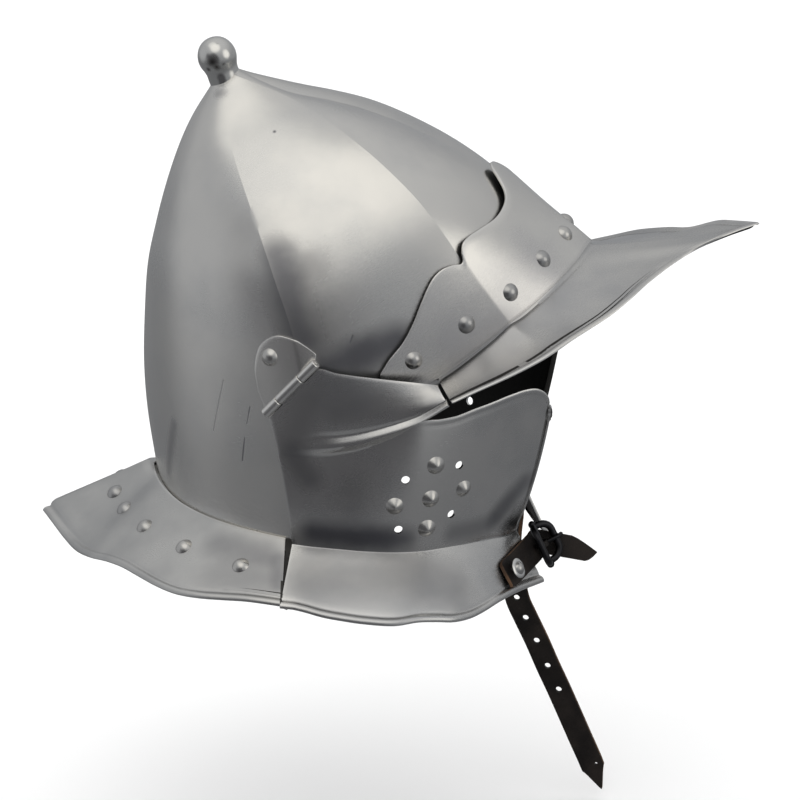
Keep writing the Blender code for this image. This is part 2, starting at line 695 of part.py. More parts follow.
def box(name, centre, along, side, off, sizes, surface):
    mesh = bpy.data.meshes.new(name)
    work = bmesh.new()
    bmesh.ops.create_cube(work, size=1)
    work.to_mesh(mesh)
    work.free()
    made = add_object(name, mesh, surface)
    m = Matrix((Vector(along) * sizes[0], Vector(side) * sizes[1], Vector(off) * sizes[2])).transposed().to_4x4()
    m = Matrix.Scale(MM, 4) @ m
    m.translation = Vector(centre) * MM
    mesh.transform(m)
    if m.determinant() < 0:
        mesh.flip_normals()
    return made


def wire_loop(name, points, radius, surface, closed=True):
    line = bpy.data.curves.new(name, "CURVE")
    line.dimensions = "3D"
    line.bevel_depth = radius * MM
    line.bevel_resolution = 2
    line.use_fill_caps = not closed
    spline = line.splines.new("POLY")
    spline.points.add(len(points) - 1)
    for made, place in zip(spline.points, points):
        made.co = (*(Vector(place) * MM), 1)
    spline.use_cyclic_u = closed
    holder = bpy.data.objects.new(name, line)
    collection.objects.link(holder)
    depsgraph = bpy.context.evaluated_depsgraph_get()
    mesh = bpy.data.meshes.new_from_object(holder.evaluated_get(depsgraph))
    bpy.data.objects.remove(holder)
    bpy.data.curves.remove(line)
    work = bmesh.new()
    work.from_mesh(mesh)
    bmesh.ops.remove_doubles(work, verts=work.verts, dist=0.005 * MM)
    bmesh.ops.recalc_face_normals(work, faces=work.faces)
    work.to_mesh(mesh)
    work.free()
    mesh.materials.clear()
    mesh.name = name
    return add_object(name, mesh, surface)


def build_buckle():
    place, along, side, off = tab
    corner = 3
    points = []
    for quarter, (s, w) in enumerate(((1, 1), (-1, 1), (-1, -1), (1, -1))):
        for k in range(3):
            a = math.radians(90 * quarter + 45 * k)
            points.append((s * (BUCKLE_HALF_LENGTH - corner) + corner * math.cos(a),
                           w * (BUCKLE_HALF_WIDTH - corner) + corner * math.sin(a)))
    loop = [bar + along * u + side * v + off * (BUCKLE_BOW * abs(u) / BUCKLE_HALF_LENGTH) ** 1.0 for u, v in points]
    # the two ends of the centre bar sit in the frame's sides
    full = []
    for k, (u, v) in enumerate(points):
        full.append(loop[k])
        nu, nv = points[(k + 1) % len(points)]
        if u * nu < 0:
            full.append(bar + side * (BUCKLE_HALF_WIDTH if v > 0 else -BUCKLE_HALF_WIDTH))
    frame = wire_loop("buckle_frame", full, BUCKLE_WIRE, black_iron())
    reach = BUCKLE_HALF_WIDTH + 1
    weld(frame, rod("bar", bar - side * reach, bar + side * reach, BAR_RADIUS, 12, black_iron()))
    for way in (1, -1):
        ball = ((0, KNOB_RADIUS), (KNOB_RADIUS * 0.7, KNOB_RADIUS * 0.7), (KNOB_RADIUS, 0),
                (KNOB_RADIUS * 0.7, -KNOB_RADIUS * 0.7), (0, -KNOB_RADIUS))
        weld(frame, turned("knob", ball, 8, frame_to(bar + side * way * (reach + 0.6), side, off), black_iron()))
    return frame


def build_prong():
    place, along, side, off = tab
    inner, outer, half = BAR_RADIUS + 0.2, BAR_RADIUS + 1.15, PRONG_RING_HALF
    ring = turned("buckle_prong", ((inner, half), (outer, half), (outer, -half), (inner, -half), (inner, half)), 16,
                  frame_to(bar, side, off), black_iron())
    tip = BUCKLE_BOW + BUCKLE_WIRE + PRONG_RADIUS + 0.3
    path = [bar + along * 1.6 + off * 1.3, bar + along * 5 + off * (tip - 1.6), bar + along * 8.6 + off * tip,
            bar + along * PRONG_REACH + off * (tip - 0.5)]
    return weld(ring, wire_loop("shaft", path, PRONG_RADIUS, black_iron(), False))


def build_underlay():
    place, along, side, off = tab
    length = float(np.linalg.norm(np.array(BUCKLE_SPOT) - place))
    tight, wide = LAYER_GAP / 2 + TAB_LEATHER, BAR_RADIUS + GAP + TAB_LEATHER
    spots = [place + along * s + off * (middle - h - LAYER_GAP)
             for s, h in ((-TAB_TAIL, tight), (-5.6, tight), (5.2, tight), (length - 5, wide - 0.2),
                          (length - 1, wide), (length + 5, wide))]
    tip = np.array(UNDERLAY_TIP)
    start = spots[-1]
    spots += [start + (tip - start) * f + off * 0.6 * math.sin(math.pi * f) for f in (0.3, 0.68)]
    path = [tail_row(spots[0], side)] + [(p, side) for p in spots[1:]]
    return strip("buckle_underlay", path, UNDERLAY_WIDTH, UNDERLAY_LEATHER, UNDER, tip)


for old in list(bpy.data.objects):
    bpy.data.objects.remove(old)
collection = bpy.data.collections.new("burgonet")
bpy.context.scene.collection.children.link(collection)

skull = build_skull()
brow_plate = build_brow_plate()
peak = build_peak()
neck_guard = build_neck_guard()
cheek_right = build_cheek()
leaf_right = build_leaf()
set_brow_rivets()
set_neck_rivets()

cheek_left = mirrored_copy(cheek_right, "cheek_left")
tab = frame_of_tab()
collar_normal = surface_hit(cheek_right, *TAB_RIVET)[1]
UNDER = tab[0] - tab[3] * 400
buckle_tab, bar, middle = build_tab()
underlay = build_underlay()
buckle = build_buckle()
prong = build_prong()

# the leaf's rivet goes through the skull
across, row = LEAF_RIVET
foot, way = skin(across, row, LEAF_GAP + LEAF_WALL), skin_normal(across, row)
rivet_through("leaf_rivet_right", foot, way, (leaf_right, skull), LEAF_GAP + LEAF_WALL + SKULL_WALL)
flip = np.array((1, -1, 1), float)
drill(skull, foot * flip, way * flip, 6)
leaf_left = mirrored_copy(leaf_right, "hinge_leaf_left")
mirrored_copy(bpy.data.objects["leaf_rivet_right"], "leaf_rivet_left")
pin_right = build_pin()
mirrored_copy(pin_right, "hinge_pin_left")

# tab rivet and washer
place, along, side, off = tab
stack = middle + LAYER_GAP / 2 + TAB_LEATHER
washer_foot = place + off * (stack + 0.12)
turned("tab_washer", ((RIVET_HOLE, WASHER_WALL), (WASHER_RADIUS, WASHER_WALL * 0.6), (WASHER_RADIUS, 0),
                      (RIVET_HOLE, 0), (RIVET_HOLE, WASHER_WALL)), 12, frame_to(washer_foot, off), washer_steel())
top = washer_foot + off * WASHER_WALL
for target in (buckle_tab, underlay, cheek_right):
    drill(target, top, off, stack + 6)
rivet("tab_rivet", top, off, stack + WASHER_WALL + PLATE_WALL + 0.4, rivet_steel(), STRAP_RIVET_HEAD)

# the strap's root lies against the underside of the left collar
strap_foot, strap_off = place * flip, off * flip
rivet_way = collar_normal * flip
hit, under, normal_under, _ = cheek_left.ray_cast(Vector(strap_foot - strap_off * 12) * MM, Vector(strap_off))
root_top = np.array(under) / MM - strap_off * STRAP_ROOT_GAP
down = unit(np.array(STRAP_PATH[0]) - root_top)
down = unit(down - strap_off * (down @ strap_off))
root_side = unit(np.cross(strap_off, down) + strap_off * STRAP_ROOT_TILT)
path = [(root_top - down * STRAP_ROOT + strap_off * 0.4, root_side), (root_top + down * 1.5, root_side),
        (root_top + down * 9 - strap_off * 2, root_side)]
steps = [np.array(p, float) for p in STRAP_PATH]
for k, p in enumerate(steps):
    ahead = steps[min(k + 1, len(steps) - 1)] - steps[max(k - 1, 0)]
    flat = unit(np.cross((0.1, 1, 0.05), ahead))
    blend = min(1.0, (k + 1) / 3)
    if flat @ root_side < 0:
        flat = -flat
    path.append((p, unit(root_side * (1 - blend) + flat * blend)))
strap = strip("long_strap", path, STRAP_WIDTH, STRAP_LEATHER, (100, -4000, -180), STRAP_TIP)
for target in (strap, cheek_left):
    drill(target, strap_foot, rivet_way, 11)
for spot in STRAP_HOLES:
    drill(strap, spot, (0.1, 1, 0.05), 6, 1.7, 6, 8)
drill(strap, STRAP_END_HOLE, (0.1, 1, 0.05), 6, 0.9, 6, 6)
upper_face = strap_foot + rivet_way * 0.35
turned("strap_washer", ((RIVET_HOLE, WASHER_WALL), (WASHER_RADIUS, WASHER_WALL * 0.6), (WASHER_RADIUS, 0),
                        (RIVET_HOLE, 0), (RIVET_HOLE, WASHER_WALL)), 12, frame_to(upper_face, rivet_way),
       washer_steel())
rivet("strap_rivet", upper_face + rivet_way * WASHER_WALL, rivet_way,
      WASHER_WALL + PLATE_WALL + STRAP_ROOT_GAP + STRAP_LEATHER + 0.9, rivet_steel(), STRAP_RIVET_HEAD)

total = 0
for made in collection.objects:
    count = sum(len(p.vertices) - 2 for p in made.data.polygons)
    total += count
    print(made.name, count)
print("pieces", len(collection.objects), "triangles", total)
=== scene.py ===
import math
from functools import partial

import bmesh
import bpy
import numpy as np
from mathutils import Matrix, Vector


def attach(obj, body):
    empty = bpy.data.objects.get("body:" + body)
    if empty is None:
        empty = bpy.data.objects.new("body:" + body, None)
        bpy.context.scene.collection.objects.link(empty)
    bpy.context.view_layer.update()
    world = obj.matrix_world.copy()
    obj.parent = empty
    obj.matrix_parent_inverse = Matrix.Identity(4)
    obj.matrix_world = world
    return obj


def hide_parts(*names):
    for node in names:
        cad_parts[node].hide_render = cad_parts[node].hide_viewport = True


# The burgonet's looks. Tables are in millimetres in the CAD model's own frame: +X is the
# helmet's front, +Z is up and -Y is the wearer's right, the near side in the main view.

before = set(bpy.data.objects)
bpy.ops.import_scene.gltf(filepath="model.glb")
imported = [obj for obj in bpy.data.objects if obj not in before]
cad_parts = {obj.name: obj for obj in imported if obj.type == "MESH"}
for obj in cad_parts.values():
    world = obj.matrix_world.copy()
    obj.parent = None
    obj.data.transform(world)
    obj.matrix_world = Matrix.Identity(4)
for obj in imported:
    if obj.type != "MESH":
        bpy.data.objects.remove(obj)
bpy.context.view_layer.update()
mm = 0.001
flipY = np.array((1.0, -1.0, 1.0))
print("frame loaded")

# Camera, kept at the photograph's angle.

viewSettings = {
    "turn": 4.2,           # degrees round to the helmet's front
    "height": 19.5,        # degrees above the horizon
    "distance": 2300,
    "lens": 199.8,
    "aim": (25.9, -25.9),  # right and down from the origin, in the image plane
}


def makeCamera():
    a, e = math.radians(viewSettings["turn"]), math.radians(viewSettings["height"])
    right = Vector((math.cos(a), math.sin(a), 0))
    up = Vector((-math.sin(a) * math.sin(e), math.cos(a) * math.sin(e), math.cos(e)))
    back = Vector((math.sin(a) * math.cos(e), -math.cos(a) * math.cos(e), math.sin(e)))
    data = bpy.data.cameras.new("camera")
    data.sensor_width = 36
    data.lens = viewSettings["lens"]
    camera = bpy.data.objects.new("camera", data)
    bpy.context.scene.collection.objects.link(camera)
    place = Matrix((right, up, back)).transposed().to_4x4()
    place.translation = (right * viewSettings["aim"][0] + up * viewSettings["aim"][1]
                         + back * viewSettings["distance"]) * mm
    camera.matrix_world = place
    data.clip_start, data.clip_end = 0.05, 50
    bpy.context.scene.camera = camera


makeCamera()

# Small helpers.


def unit(vector):
    vector = np.array(vector, float)
    return vector / np.linalg.norm(vector)


def tableAt(table, place):
    # a smooth curve through a table's rows, read at a fractional row number
    table = np.asarray(table, float)
    last = len(table) - 1
    low = int(min(max(math.floor(place), 0), last - 1))
    f = place - low
    a, b = table[low], table[low + 1]
    before = table[low - 1] if low > 0 else 2 * a - b
    after = table[low + 2] if low < last - 1 else 2 * b - a
    leave, arrive = (b - before) / 2, (after - a) / 2
    return ((2 * f ** 3 - 3 * f ** 2 + 1) * a + (f ** 3 - 2 * f ** 2 + f) * leave
            + (3 * f ** 2 - 2 * f ** 3) * b + (f ** 3 - f ** 2) * arrive)


def columnsAt(table, value):
    # the same curve, read where the first column has a value
    keys = [row[0] for row in table]
    place = float(np.interp(value, keys, range(len(keys))))
    return tableAt(table, place)[1:]


def spread(stops, counts):
    # values from stop to stop, with a number of steps in each span
    values = [float(stops[0])]
    for a, b, count in zip(stops, stops[1:], counts):
        values += [a + (b - a) * (k + 1) / count for k in range(count)]
    return values


def addObject(name, mesh, *surfaces):
    made = bpy.data.objects.new(name, mesh)
    bpy.context.scene.collection.objects.link(made)
    mesh.materials.clear()
    for surface in surfaces:
        mesh.materials.append(surface)
    return made


def settle(piece):
    # the piece's modifiers become its plain mesh
    depsgraph = bpy.context.evaluated_depsgraph_get()
    mesh = bpy.data.meshes.new_from_object(piece.evaluated_get(depsgraph))
    old = piece.data
    piece.modifiers.clear()
    piece.data = mesh
    mesh.name = piece.name
    bpy.data.meshes.remove(old)
    return piece


def roundShading(piece, angle=38):
    piece.data.shade_smooth()
    piece.data.set_sharp_from_angle(angle=math.radians(angle))
    return piece


def gridMesh(name, grids):
    # one open surface from grids of points, welded where they meet, with the distance from
    # its free edges in millimetres kept as an attribute
    work = bmesh.new()
    layer = work.loops.layers.uv.new("along")
    for rows in grids:
        made = [[work.verts.new(Vector(p) * mm) for p in row] for row in rows]
        down = [0.0]
        middle = len(rows[0]) // 2
        for upper, lower in zip(rows, rows[1:]):
            down.append(down[-1] + float(np.linalg.norm(np.array(lower[middle]) - upper[middle])))
        mid = len(rows) // 2
        side = [0.0]
        for left, right in zip(rows[mid], rows[mid][1:]):
            side.append(side[-1] + float(np.linalg.norm(np.array(right) - left)))
        for r in range(len(rows) - 1):
            for k in range(len(rows[0]) - 1):
                corners = ((r, k), (r + 1, k), (r + 1, k + 1), (r, k + 1))
                if len({made[i][j] for i, j in corners}) < 4:
                    continue
                face = work.faces.new([made[i][j] for i, j in corners])
                face.smooth = True
                for loop, (i, j) in zip(face.loops, corners):
                    loop[layer].uv = (side[j] * 0.01, down[i] * 0.01)
    bmesh.ops.remove_doubles(work, verts=work.verts, dist=0.02 * mm)
    bmesh.ops.dissolve_degenerate(work, edges=work.edges, dist=0.008 * mm)
    bmesh.ops.recalc_face_normals(work, faces=work.faces)
    border = np.array([v.co[:] for v in work.verts if v.is_boundary and abs(v.co.y) > 1e-5])
    places = np.array([v.co[:] for v in work.verts])
    near = np.empty(len(places))
    for start in range(0, len(places), 500):
        block = places[start:start + 500, None, :] - border[None, :, :]
        near[start:start + 500] = np.sqrt((block ** 2).sum(2)).min(1)
    mesh = bpy.data.meshes.new(name)
    work.to_mesh(mesh)
    work.free()
    kept = mesh.attributes.new("fromEdge", "FLOAT", "POINT")
    kept.data.foreach_set("value", np.array(near / mm, np.float32))
    return mesh


def plate(name, grids, wall, surfaces, awayFrom, mirrored=False, edge=0.35, shape=None, inside=False):
    # a sheet with a wall and softly broken edges; shape may be a geometry tree run first
    made = addObject(name, gridMesh(name, grids), *surfaces)
    if shape is not None:
        shape(made)
    centre = Vector(awayFrom) * mm
    score = sum((p.center - centre).dot(p.normal) * p.area for p in made.data.polygons)
    if score < 0:
        made.data.flip_normals()
    if mirrored:
        mirror = made.modifiers.new("other half", "MIRROR")
        mirror.use_axis = (False, True, False)
        mirror.use_clip = True
        mirror.merge_threshold = 0.05 * mm
    thick = made.modifiers.new("wall", "SOLIDIFY")
    thick.thickness = wall * mm
    thick.offset = -1
    thick.use_even_offset = False
    thick.material_offset = 1 if inside else 0          # the second surface is the inner face's,
    thick.material_offset_rim = 0 if inside or len(surfaces) < 2 else 1    # or else the cut edge's
    if edge:
        bevel = made.modifiers.new("broken edge", "BEVEL")
        bevel.width = edge * mm
        bevel.segments = 2
        bevel.limit_method = "ANGLE"
        bevel.angle_limit = math.radians(50)
    return roundShading(settle(made), 50)


def placeFrom(origin, axis, up=(0, 0, 1)):
    z = Vector(axis).normalized()
    x = Vector(up).cross(z)
    if x.length < 1e-4:
        x = Vector((1, 0, 0))
    x.normalize()
    made = Matrix((x, z.cross(x), z)).transposed().to_4x4()
    made.translation = Vector(origin) * mm
    return made


def turned(name, profile, steps, placement, surface):
    # a solid of revolution from radius and height pairs, listed from its top to its bottom
    mesh = bpy.data.meshes.new(name)
    mesh.from_pydata([(r * mm, 0, h * mm) for r, h in profile],
                     [(k, k + 1) for k in range(len(profile) - 1)], [])
    made = addObject(name, mesh, surface)
    screw = made.modifiers.new("turn", "SCREW")
    screw.axis = "Z"
    screw.steps = screw.render_steps = steps
    screw.use_merge_vertices = True
    screw.merge_threshold = 0.00001
    settle(made)
    work = bmesh.new()
    work.from_mesh(made.data)
    bmesh.ops.remove_doubles(work, verts=work.verts, dist=0.005 * mm)
    bmesh.ops.recalc_face_normals(work, faces=work.faces)
    work.to_mesh(made.data)
    work.free()
    made.data.transform(placement)
    made.data.materials.clear()
    made.data.materials.append(surface)
    return roundShading(made, 35)


def rod(name, start, end, radius, steps, surface, chamfer=0.0):
    a, b = np.array(start, float), np.array(end, float)
    length = float(np.linalg.norm(b - a))
    c = chamfer
    profile = [(0, length), (radius - c, length), (radius, length - c), (radius, c), (radius - c, 0), (0, 0)]
    if not c:
        profile = [(0, length), (radius, length), (radius, 0), (0, 0)]
    return turned(name, profile, steps, placeFrom(a, b - a), surface)


def joinBy(target, tool, operation):
    made = target.modifiers.new("join", "BOOLEAN")
    made.operation = operation
    made.solver = "EXACT"
    made.object = tool
    settle(target)
    bpy.data.objects.remove(tool)
    return target


def merged(name, pieces, surfaces):
    # several closed shells kept together as one piece
    work = bmesh.new()
    for piece in pieces:
        work.from_mesh(piece.data)
        bpy.data.objects.remove(piece)
    mesh = bpy.data.meshes.new(name)
    work.to_mesh(mesh)
    work.free()
    return addObject(name, mesh, *surfaces)


def standFor(piece, body, *nodes):
    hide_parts(*nodes)
    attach(piece, body)


def otherSide(piece, name):
    mesh = piece.data.copy()
    mesh.transform(Matrix.Diagonal((1, -1, 1, 1)))
    mesh.flip_normals()
    made = bpy.data.objects.new(name, mesh)
    mesh.name = name
    bpy.context.scene.collection.objects.link(made)
    return made


# Node helpers.  A socket is named or numbered, and gets a plain value or the output that feeds it.


def feed(tree, node, sockets):
    for key, value in sockets.items():
        if isinstance(value, bpy.types.NodeSocket):
            tree.links.new(value, node.inputs[key])
        else:
            node.inputs[key].default_value = value


def addNode(tree, kind, sockets=None, **settings):
    node = tree.nodes.new(kind)
    for key, value in settings.items():
        setattr(node, key, value)
    feed(tree, node, sockets or {})
    return node


def newTree(kind, name, inputs, outputs):
    # a group with named sockets, and its input and output nodes
    tree = bpy.data.node_groups.new(name, kind + "NodeTree")
    for way, rows in (("INPUT", inputs), ("OUTPUT", outputs)):
        for label, form, *value in rows:
            socket = tree.interface.new_socket(label, in_out=way, socket_type="NodeSocket" + form)
            if value:
                socket.default_value = value[0]
    return tree, tree.nodes.new("NodeGroupInput"), tree.nodes.new("NodeGroupOutput")


def maths(tree, operation, a, b=None):
    sockets = {0: a} if b is None else {0: a, 1: b}
    return addNode(tree, "ShaderNodeMath", sockets, operation=operation).outputs[0]


def vectorMaths(tree, operation, a, b=None, scale=None):
    sockets = {key: value for key, value in ((0, a), (1, b), ("Scale", scale)) if value is not None}
    node = addNode(tree, "ShaderNodeVectorMath", sockets, operation=operation)
    return node.outputs["Value"] if operation in ("LENGTH", "DOT_PRODUCT") else node.outputs[0]


def ramp(tree, value, low, high, fromValue=0.0, toValue=1.0, shape="SMOOTHSTEP"):
    sockets = {0: value, 1: low, 2: high, 3: fromValue, 4: toValue}
    return addNode(tree, "ShaderNodeMapRange", sockets, interpolation_type=shape).outputs[0]


def blendColor(tree, share, a, b):
    return addNode(tree, "ShaderNodeMix", {0: share, 6: a, 7: b}, data_type="RGBA").outputs[2]


def noise(tree, place, size, detail, roughness=0.5):
    sockets = {"Vector": place, "Scale": size, "Detail": detail, "Roughness": roughness}
    return addNode(tree, "ShaderNodeTexNoise", sockets).outputs[0]


def objectPlace(tree):
    return tree.nodes.new("ShaderNodeTexCoord").outputs["Object"]


def newMaterial(name):
    made = bpy.data.materials.new(name)
    made.use_nodes = True
    return made, made.node_tree, made.node_tree.nodes["Principled BSDF"]


# Steel.  Sizes are noise scales, and shares say how much of each noise reaches the bump.
finish = {
    "lineStretch": (6, 130, 1), "lineSize": 5.5, "lineRough": 0.6, "lineShare": 0.6,
    "cloudSize": 17, "cloudRough": 0.55, "cloudShare": 1.2, "cloudEdges": (0.36, 0.68),
    "speckSize": 900, "speckShare": 0.25,
    "cloudDulls": 0.6, "lineDulls": 0.4, "dullEdges": (0.3, 0.7),
    "bump": 0.12, "bumpDepth": 0.0006,
    "blotSize": 70, "blotReach": 3.0, "stainAndShadeEdges": (0.1, 1.25), "scratchDepth": 2.0,
}


def makeSteelFinish():
    # satin steel: cloudy polish, fine sanding lines along the sheet and a worn, bright edge
    tree, into, out = newTree("Shader", "steel finish", (
        ("Light tone", "Color", (0.6, 0.59, 0.57, 1)), ("Dark tone", "Color", (0.42, 0.42, 0.425, 1)),
        ("Edge tone", "Color", (0.8, 0.79, 0.77, 1)), ("Smooth", "Float", 0.26), ("Dull", "Float", 0.4),
        ("Lines", "Float", 1.0), ("Edge width", "Float", 1.2), ("Edge wear", "Float", 0.85),
    ), (("Color", "Color"), ("Roughness", "Float"), ("Height", "Float")))
    given, calc, place = into.outputs, partial(maths, tree), objectPlace(tree)
    along = addNode(tree, "ShaderNodeUVMap", uv_map="along").outputs[0]
    stretch = addNode(tree, "ShaderNodeMapping", {"Vector": along, "Scale": finish["lineStretch"]})
    lines = noise(tree, stretch.outputs[0], finish["lineSize"], 4, finish["lineRough"])
    clouds = noise(tree, place, finish["cloudSize"], 4, finish["cloudRough"])
    specks = noise(tree, place, finish["speckSize"], 2)
    edge = addNode(tree, "ShaderNodeAttribute", attribute_name="fromEdge").outputs["Fac"]
    cloudy = ramp(tree, clouds, *finish["cloudEdges"])
    tone = blendColor(tree, cloudy, given["Light tone"], given["Dark tone"])
    wear = ramp(tree, edge, 0.0, given["Edge width"], given["Edge wear"], 0.0, "LINEAR")
    mixed = calc("ADD", calc("MULTIPLY", clouds, finish["cloudDulls"]),
                 calc("MULTIPLY", lines, finish["lineDulls"]))
    brushed = calc("MULTIPLY", calc("MULTIPLY", lines, finish["lineShare"]), given["Lines"])
    height = calc("ADD", brushed, calc("MULTIPLY", specks, finish["speckShare"]))
    feed(tree, out, {
        "Color": blendColor(tree, wear, tone, given["Edge tone"]),
        "Roughness": ramp(tree, mixed, *finish["dullEdges"], given["Smooth"], given["Dull"], "LINEAR"),
        "Height": calc("ADD", height, calc("MULTIPLY", clouds, finish["cloudShare"]))})
    return tree


def makeStainAndShadeSpot():
    # a soft, ragged patch round one place, for stains and scratches and for painted shade and painted dark
    # reflections; Long stretches it along its own direction
    tree, into, out = newTree("Shader", "stain and shade spot", (
        ("Place", "Vector", (0, 0, 0)), ("Way", "Vector", (0, 0, 1)), ("Radius", "Float", 0.02),
        ("Long", "Float", 0.0), ("Ragged", "Float", 0.35), ("Strength", "Float", 1.0),
    ), (("Mask", "Float"),))
    given, place = into.outputs, objectPlace(tree)
    calc, vector = partial(maths, tree), partial(vectorMaths, tree)
    away = vector("SUBTRACT", place, given["Place"])
    limit = addNode(tree, "ShaderNodeClamp", {
        0: vector("DOT_PRODUCT", away, given["Way"]),
        1: calc("MULTIPLY", given["Long"], -1.0), 2: given["Long"]})
    nearest = vector("SCALE", given["Way"], scale=limit.outputs[0])
    far = vector("LENGTH", vector("SUBTRACT", away, nearest))
    blots = calc("SUBTRACT", noise(tree, place, finish["blotSize"], 3), 0.5)
    wobble = calc("MULTIPLY", calc("MULTIPLY", blots, given["Ragged"]), finish["blotReach"])
    share = calc("ADD", calc("DIVIDE", far, given["Radius"]), wobble)
    mask = ramp(tree, share, *finish["stainAndShadeEdges"], 1.0, 0.0)
    feed(tree, out, {"Mask": calc("MULTIPLY", mask, given["Strength"])})
    return tree


steelFinish, stainAndShadeSpot = makeSteelFinish(), makeStainAndShadeSpot()


def steelMaterial(name, light, dark, smooth, dull, lines=1.0, edgeWear=0.6,
                  stainsAndShade=(), stainAndShadeTone=(0.2, 0.2, 0.215), stainAndShadeRough=0.36):
    made, tree, shader = newMaterial(name)
    feed(tree, shader, {"Metallic": 1.0, "Specular IOR Level": 0.5})
    group = addNode(tree, "ShaderNodeGroup", {
        "Light tone": (*light, 1), "Dark tone": (*dark, 1), "Smooth": smooth, "Dull": dull,
        "Lines": lines, "Edge wear": edgeWear}, node_tree=steelFinish)
    tone, rough, height = (group.outputs[label] for label in ("Color", "Roughness", "Height"))
    for place, radius, strength, *end in stainsAndShade:      # places and lengths in mm
        middle, shape = Vector(place) * mm, {}
        if end:
            far = Vector(end[0]) * mm
            shape = {"Way": (far - middle).normalized(), "Long": (far - middle).length / 2,
                     "Ragged": 0.55 if radius < 1.5 else 0.12}      # thin scratches are broken up more
            middle = (middle + far) / 2
        spot = addNode(tree, "ShaderNodeGroup", {
            **shape, "Place": middle, "Radius": radius * mm, "Strength": strength}, node_tree=stainAndShadeSpot)
        mask = spot.outputs[0]
        # stains, and painted shade and painted dark reflections: inside each spot the steel's colour is
        # pulled towards the spot tone
        tone = blendColor(tree, mask, tone, (*stainAndShadeTone, 1))
        rough = maths(tree, "ADD", rough, maths(tree, "MULTIPLY", mask, stainAndShadeRough - smooth))
        if end:
            height = maths(tree, "SUBTRACT", height, maths(tree, "MULTIPLY", mask, finish["scratchDepth"]))
    bump = addNode(tree, "ShaderNodeBump", {
        "Strength": finish["bump"], "Distance": finish["bumpDepth"], "Height": height})
    feed(tree, shader, {"Base Color": tone, "Roughness": rough, "Normal": bump.outputs[0]})
    return made


leather = {
    "shine": 0.22, "cloudSize": 60, "bump": 0.35, "bumpDepth": 0.0004, "smoother": 0.08, "duller": 0.12,
}


def leatherMaterial(name, dark, light, rough, grain):
    made, tree, shader = newMaterial(name)
    place = objectPlace(tree)
    pores = addNode(tree, "ShaderNodeTexVoronoi", {"Vector": place, "Scale": grain}).outputs[0]
    clouds = noise(tree, place, leather["cloudSize"], 6)
    bump = addNode(tree, "ShaderNodeBump", {
        "Strength": leather["bump"], "Distance": leather["bumpDepth"],
        "Height": maths(tree, "ADD", pores, clouds)})
    feed(tree, shader, {
        "Specular IOR Level": leather["shine"],
        "Base Color": blendColor(tree, ramp(tree, clouds, 0.35, 0.7), (*dark, 1), (*light, 1)),
        "Roughness": ramp(tree, clouds, 0.3, 0.7, rough - leather["smoother"], rough + leather["duller"]),
        "Normal": bump.outputs[0]})
    return made


# Marks as a place, a radius and a strength, and for a scratch its other end. The finial's marks are weld pits
# and the thin marks are scratches; the wide soft spots and streaks on the skull, cheeks and neck guard are
# partly stains and partly painted shade and painted dark reflections.
skullStainsAndShade = (
    ((-30, -79, 76), 13, 0.85, (-16, -90, 36)), ((-14, -80, 72), 14, 0.4),
    ((30, -83, 34), 12, 0.9, (-4, -91, 22)), ((14, -88.5, 27), 13, 0.6),
    ((-34.7, -33.7, 126.5), 1.0, 0.9), ((-86, -49, -26), 5, 0.5, (-92, -38, -56)),
    ((-43, -86, -2), 0.5, 0.75, (-44.6, -85.4, -11)), ((-46, -85, -19), 0.6, 0.85, (-47.4, -83.9, -31.4)),
    ((-57.2, -77.3, 8.7), 0.5, 0.3, (-63, -73.9, -19.4)),
    ((8.8, -88.1, 37.8), 0.6, 0.7, (7.5, -88.6, 34.5)), ((-63, -10, 138), 5, 0.8),
)
cheekStainsAndShade = (
    ((22, -99, 6), 9, 0.22, (2, -99, 0)), ((47, -99, 9), 10, 0.35),
    ((-10, -99.9, -64), 10, 1.0, (36, -99.9, -67)),
    ((-20, -98.8, -22), 9, 0.6, (-12, -99.3, -34)), ((80, -61, -66), 9, 0.75, (90, -50, -50)),
    ((60, -84, -68), 8, 0.5, (76, -66, -70)), ((8, -100, -40), 13, 0.25),
    ((-12, -116, -82), 18, 0.46, (60, -100, -88)), ((-14, -98, 6), 12, 0.35, (-20, -98, -16)),
)
neckStainsAndShade = (
    ((-36, -101, -72), 12, 0.6, (-60, -90, -72)), ((-34, -114, -80), 17, 0.5, (-58, -110, -80)),
    ((-26, -118, -84), 6, 0.5, (-28, -104, -76)),
)
finialMarks = (
    ((-68.3, -9.2, 155.3), 4.0, 0.97), ((-66.2, -9.6, 152.6), 2.4, 0.9), ((-70.6, -8, 151), 1.7, 0.8),
    ((-63, -8.6, 154.2), 1.1, 0.7), ((-64.6, -7.4, 148.2), 1.2, 0.7), ((-63.2, -8.3, 142.6), 2.4, 0.45),
)
insideSteel = steelMaterial(
    "dark inner steel", (0.07, 0.068, 0.065), (0.04, 0.038, 0.036), 0.45, 0.6, edgeWear=0)
skullSteel = steelMaterial(
    "satin skull steel", (0.68, 0.667, 0.64), (0.6, 0.595, 0.582), 0.2, 0.3,
    stainsAndShade=skullStainsAndShade, stainAndShadeTone=(0.17, 0.17, 0.185))
finialSteel = steelMaterial(
    "weld-pitted finial steel", (0.66, 0.655, 0.635), (0.52, 0.515, 0.5), 0.14, 0.24,
    edgeWear=0, stainsAndShade=finialMarks, stainAndShadeTone=(0.035, 0.03, 0.028), stainAndShadeRough=0.4)
plateSteel = steelMaterial("satin plate steel", (0.73, 0.715, 0.685), (0.61, 0.6, 0.595), 0.21, 0.32)
neckSteel = steelMaterial(
    "satin neck steel", (0.575, 0.57, 0.555), (0.45, 0.45, 0.447), 0.24, 0.36, stainsAndShade=neckStainsAndShade)
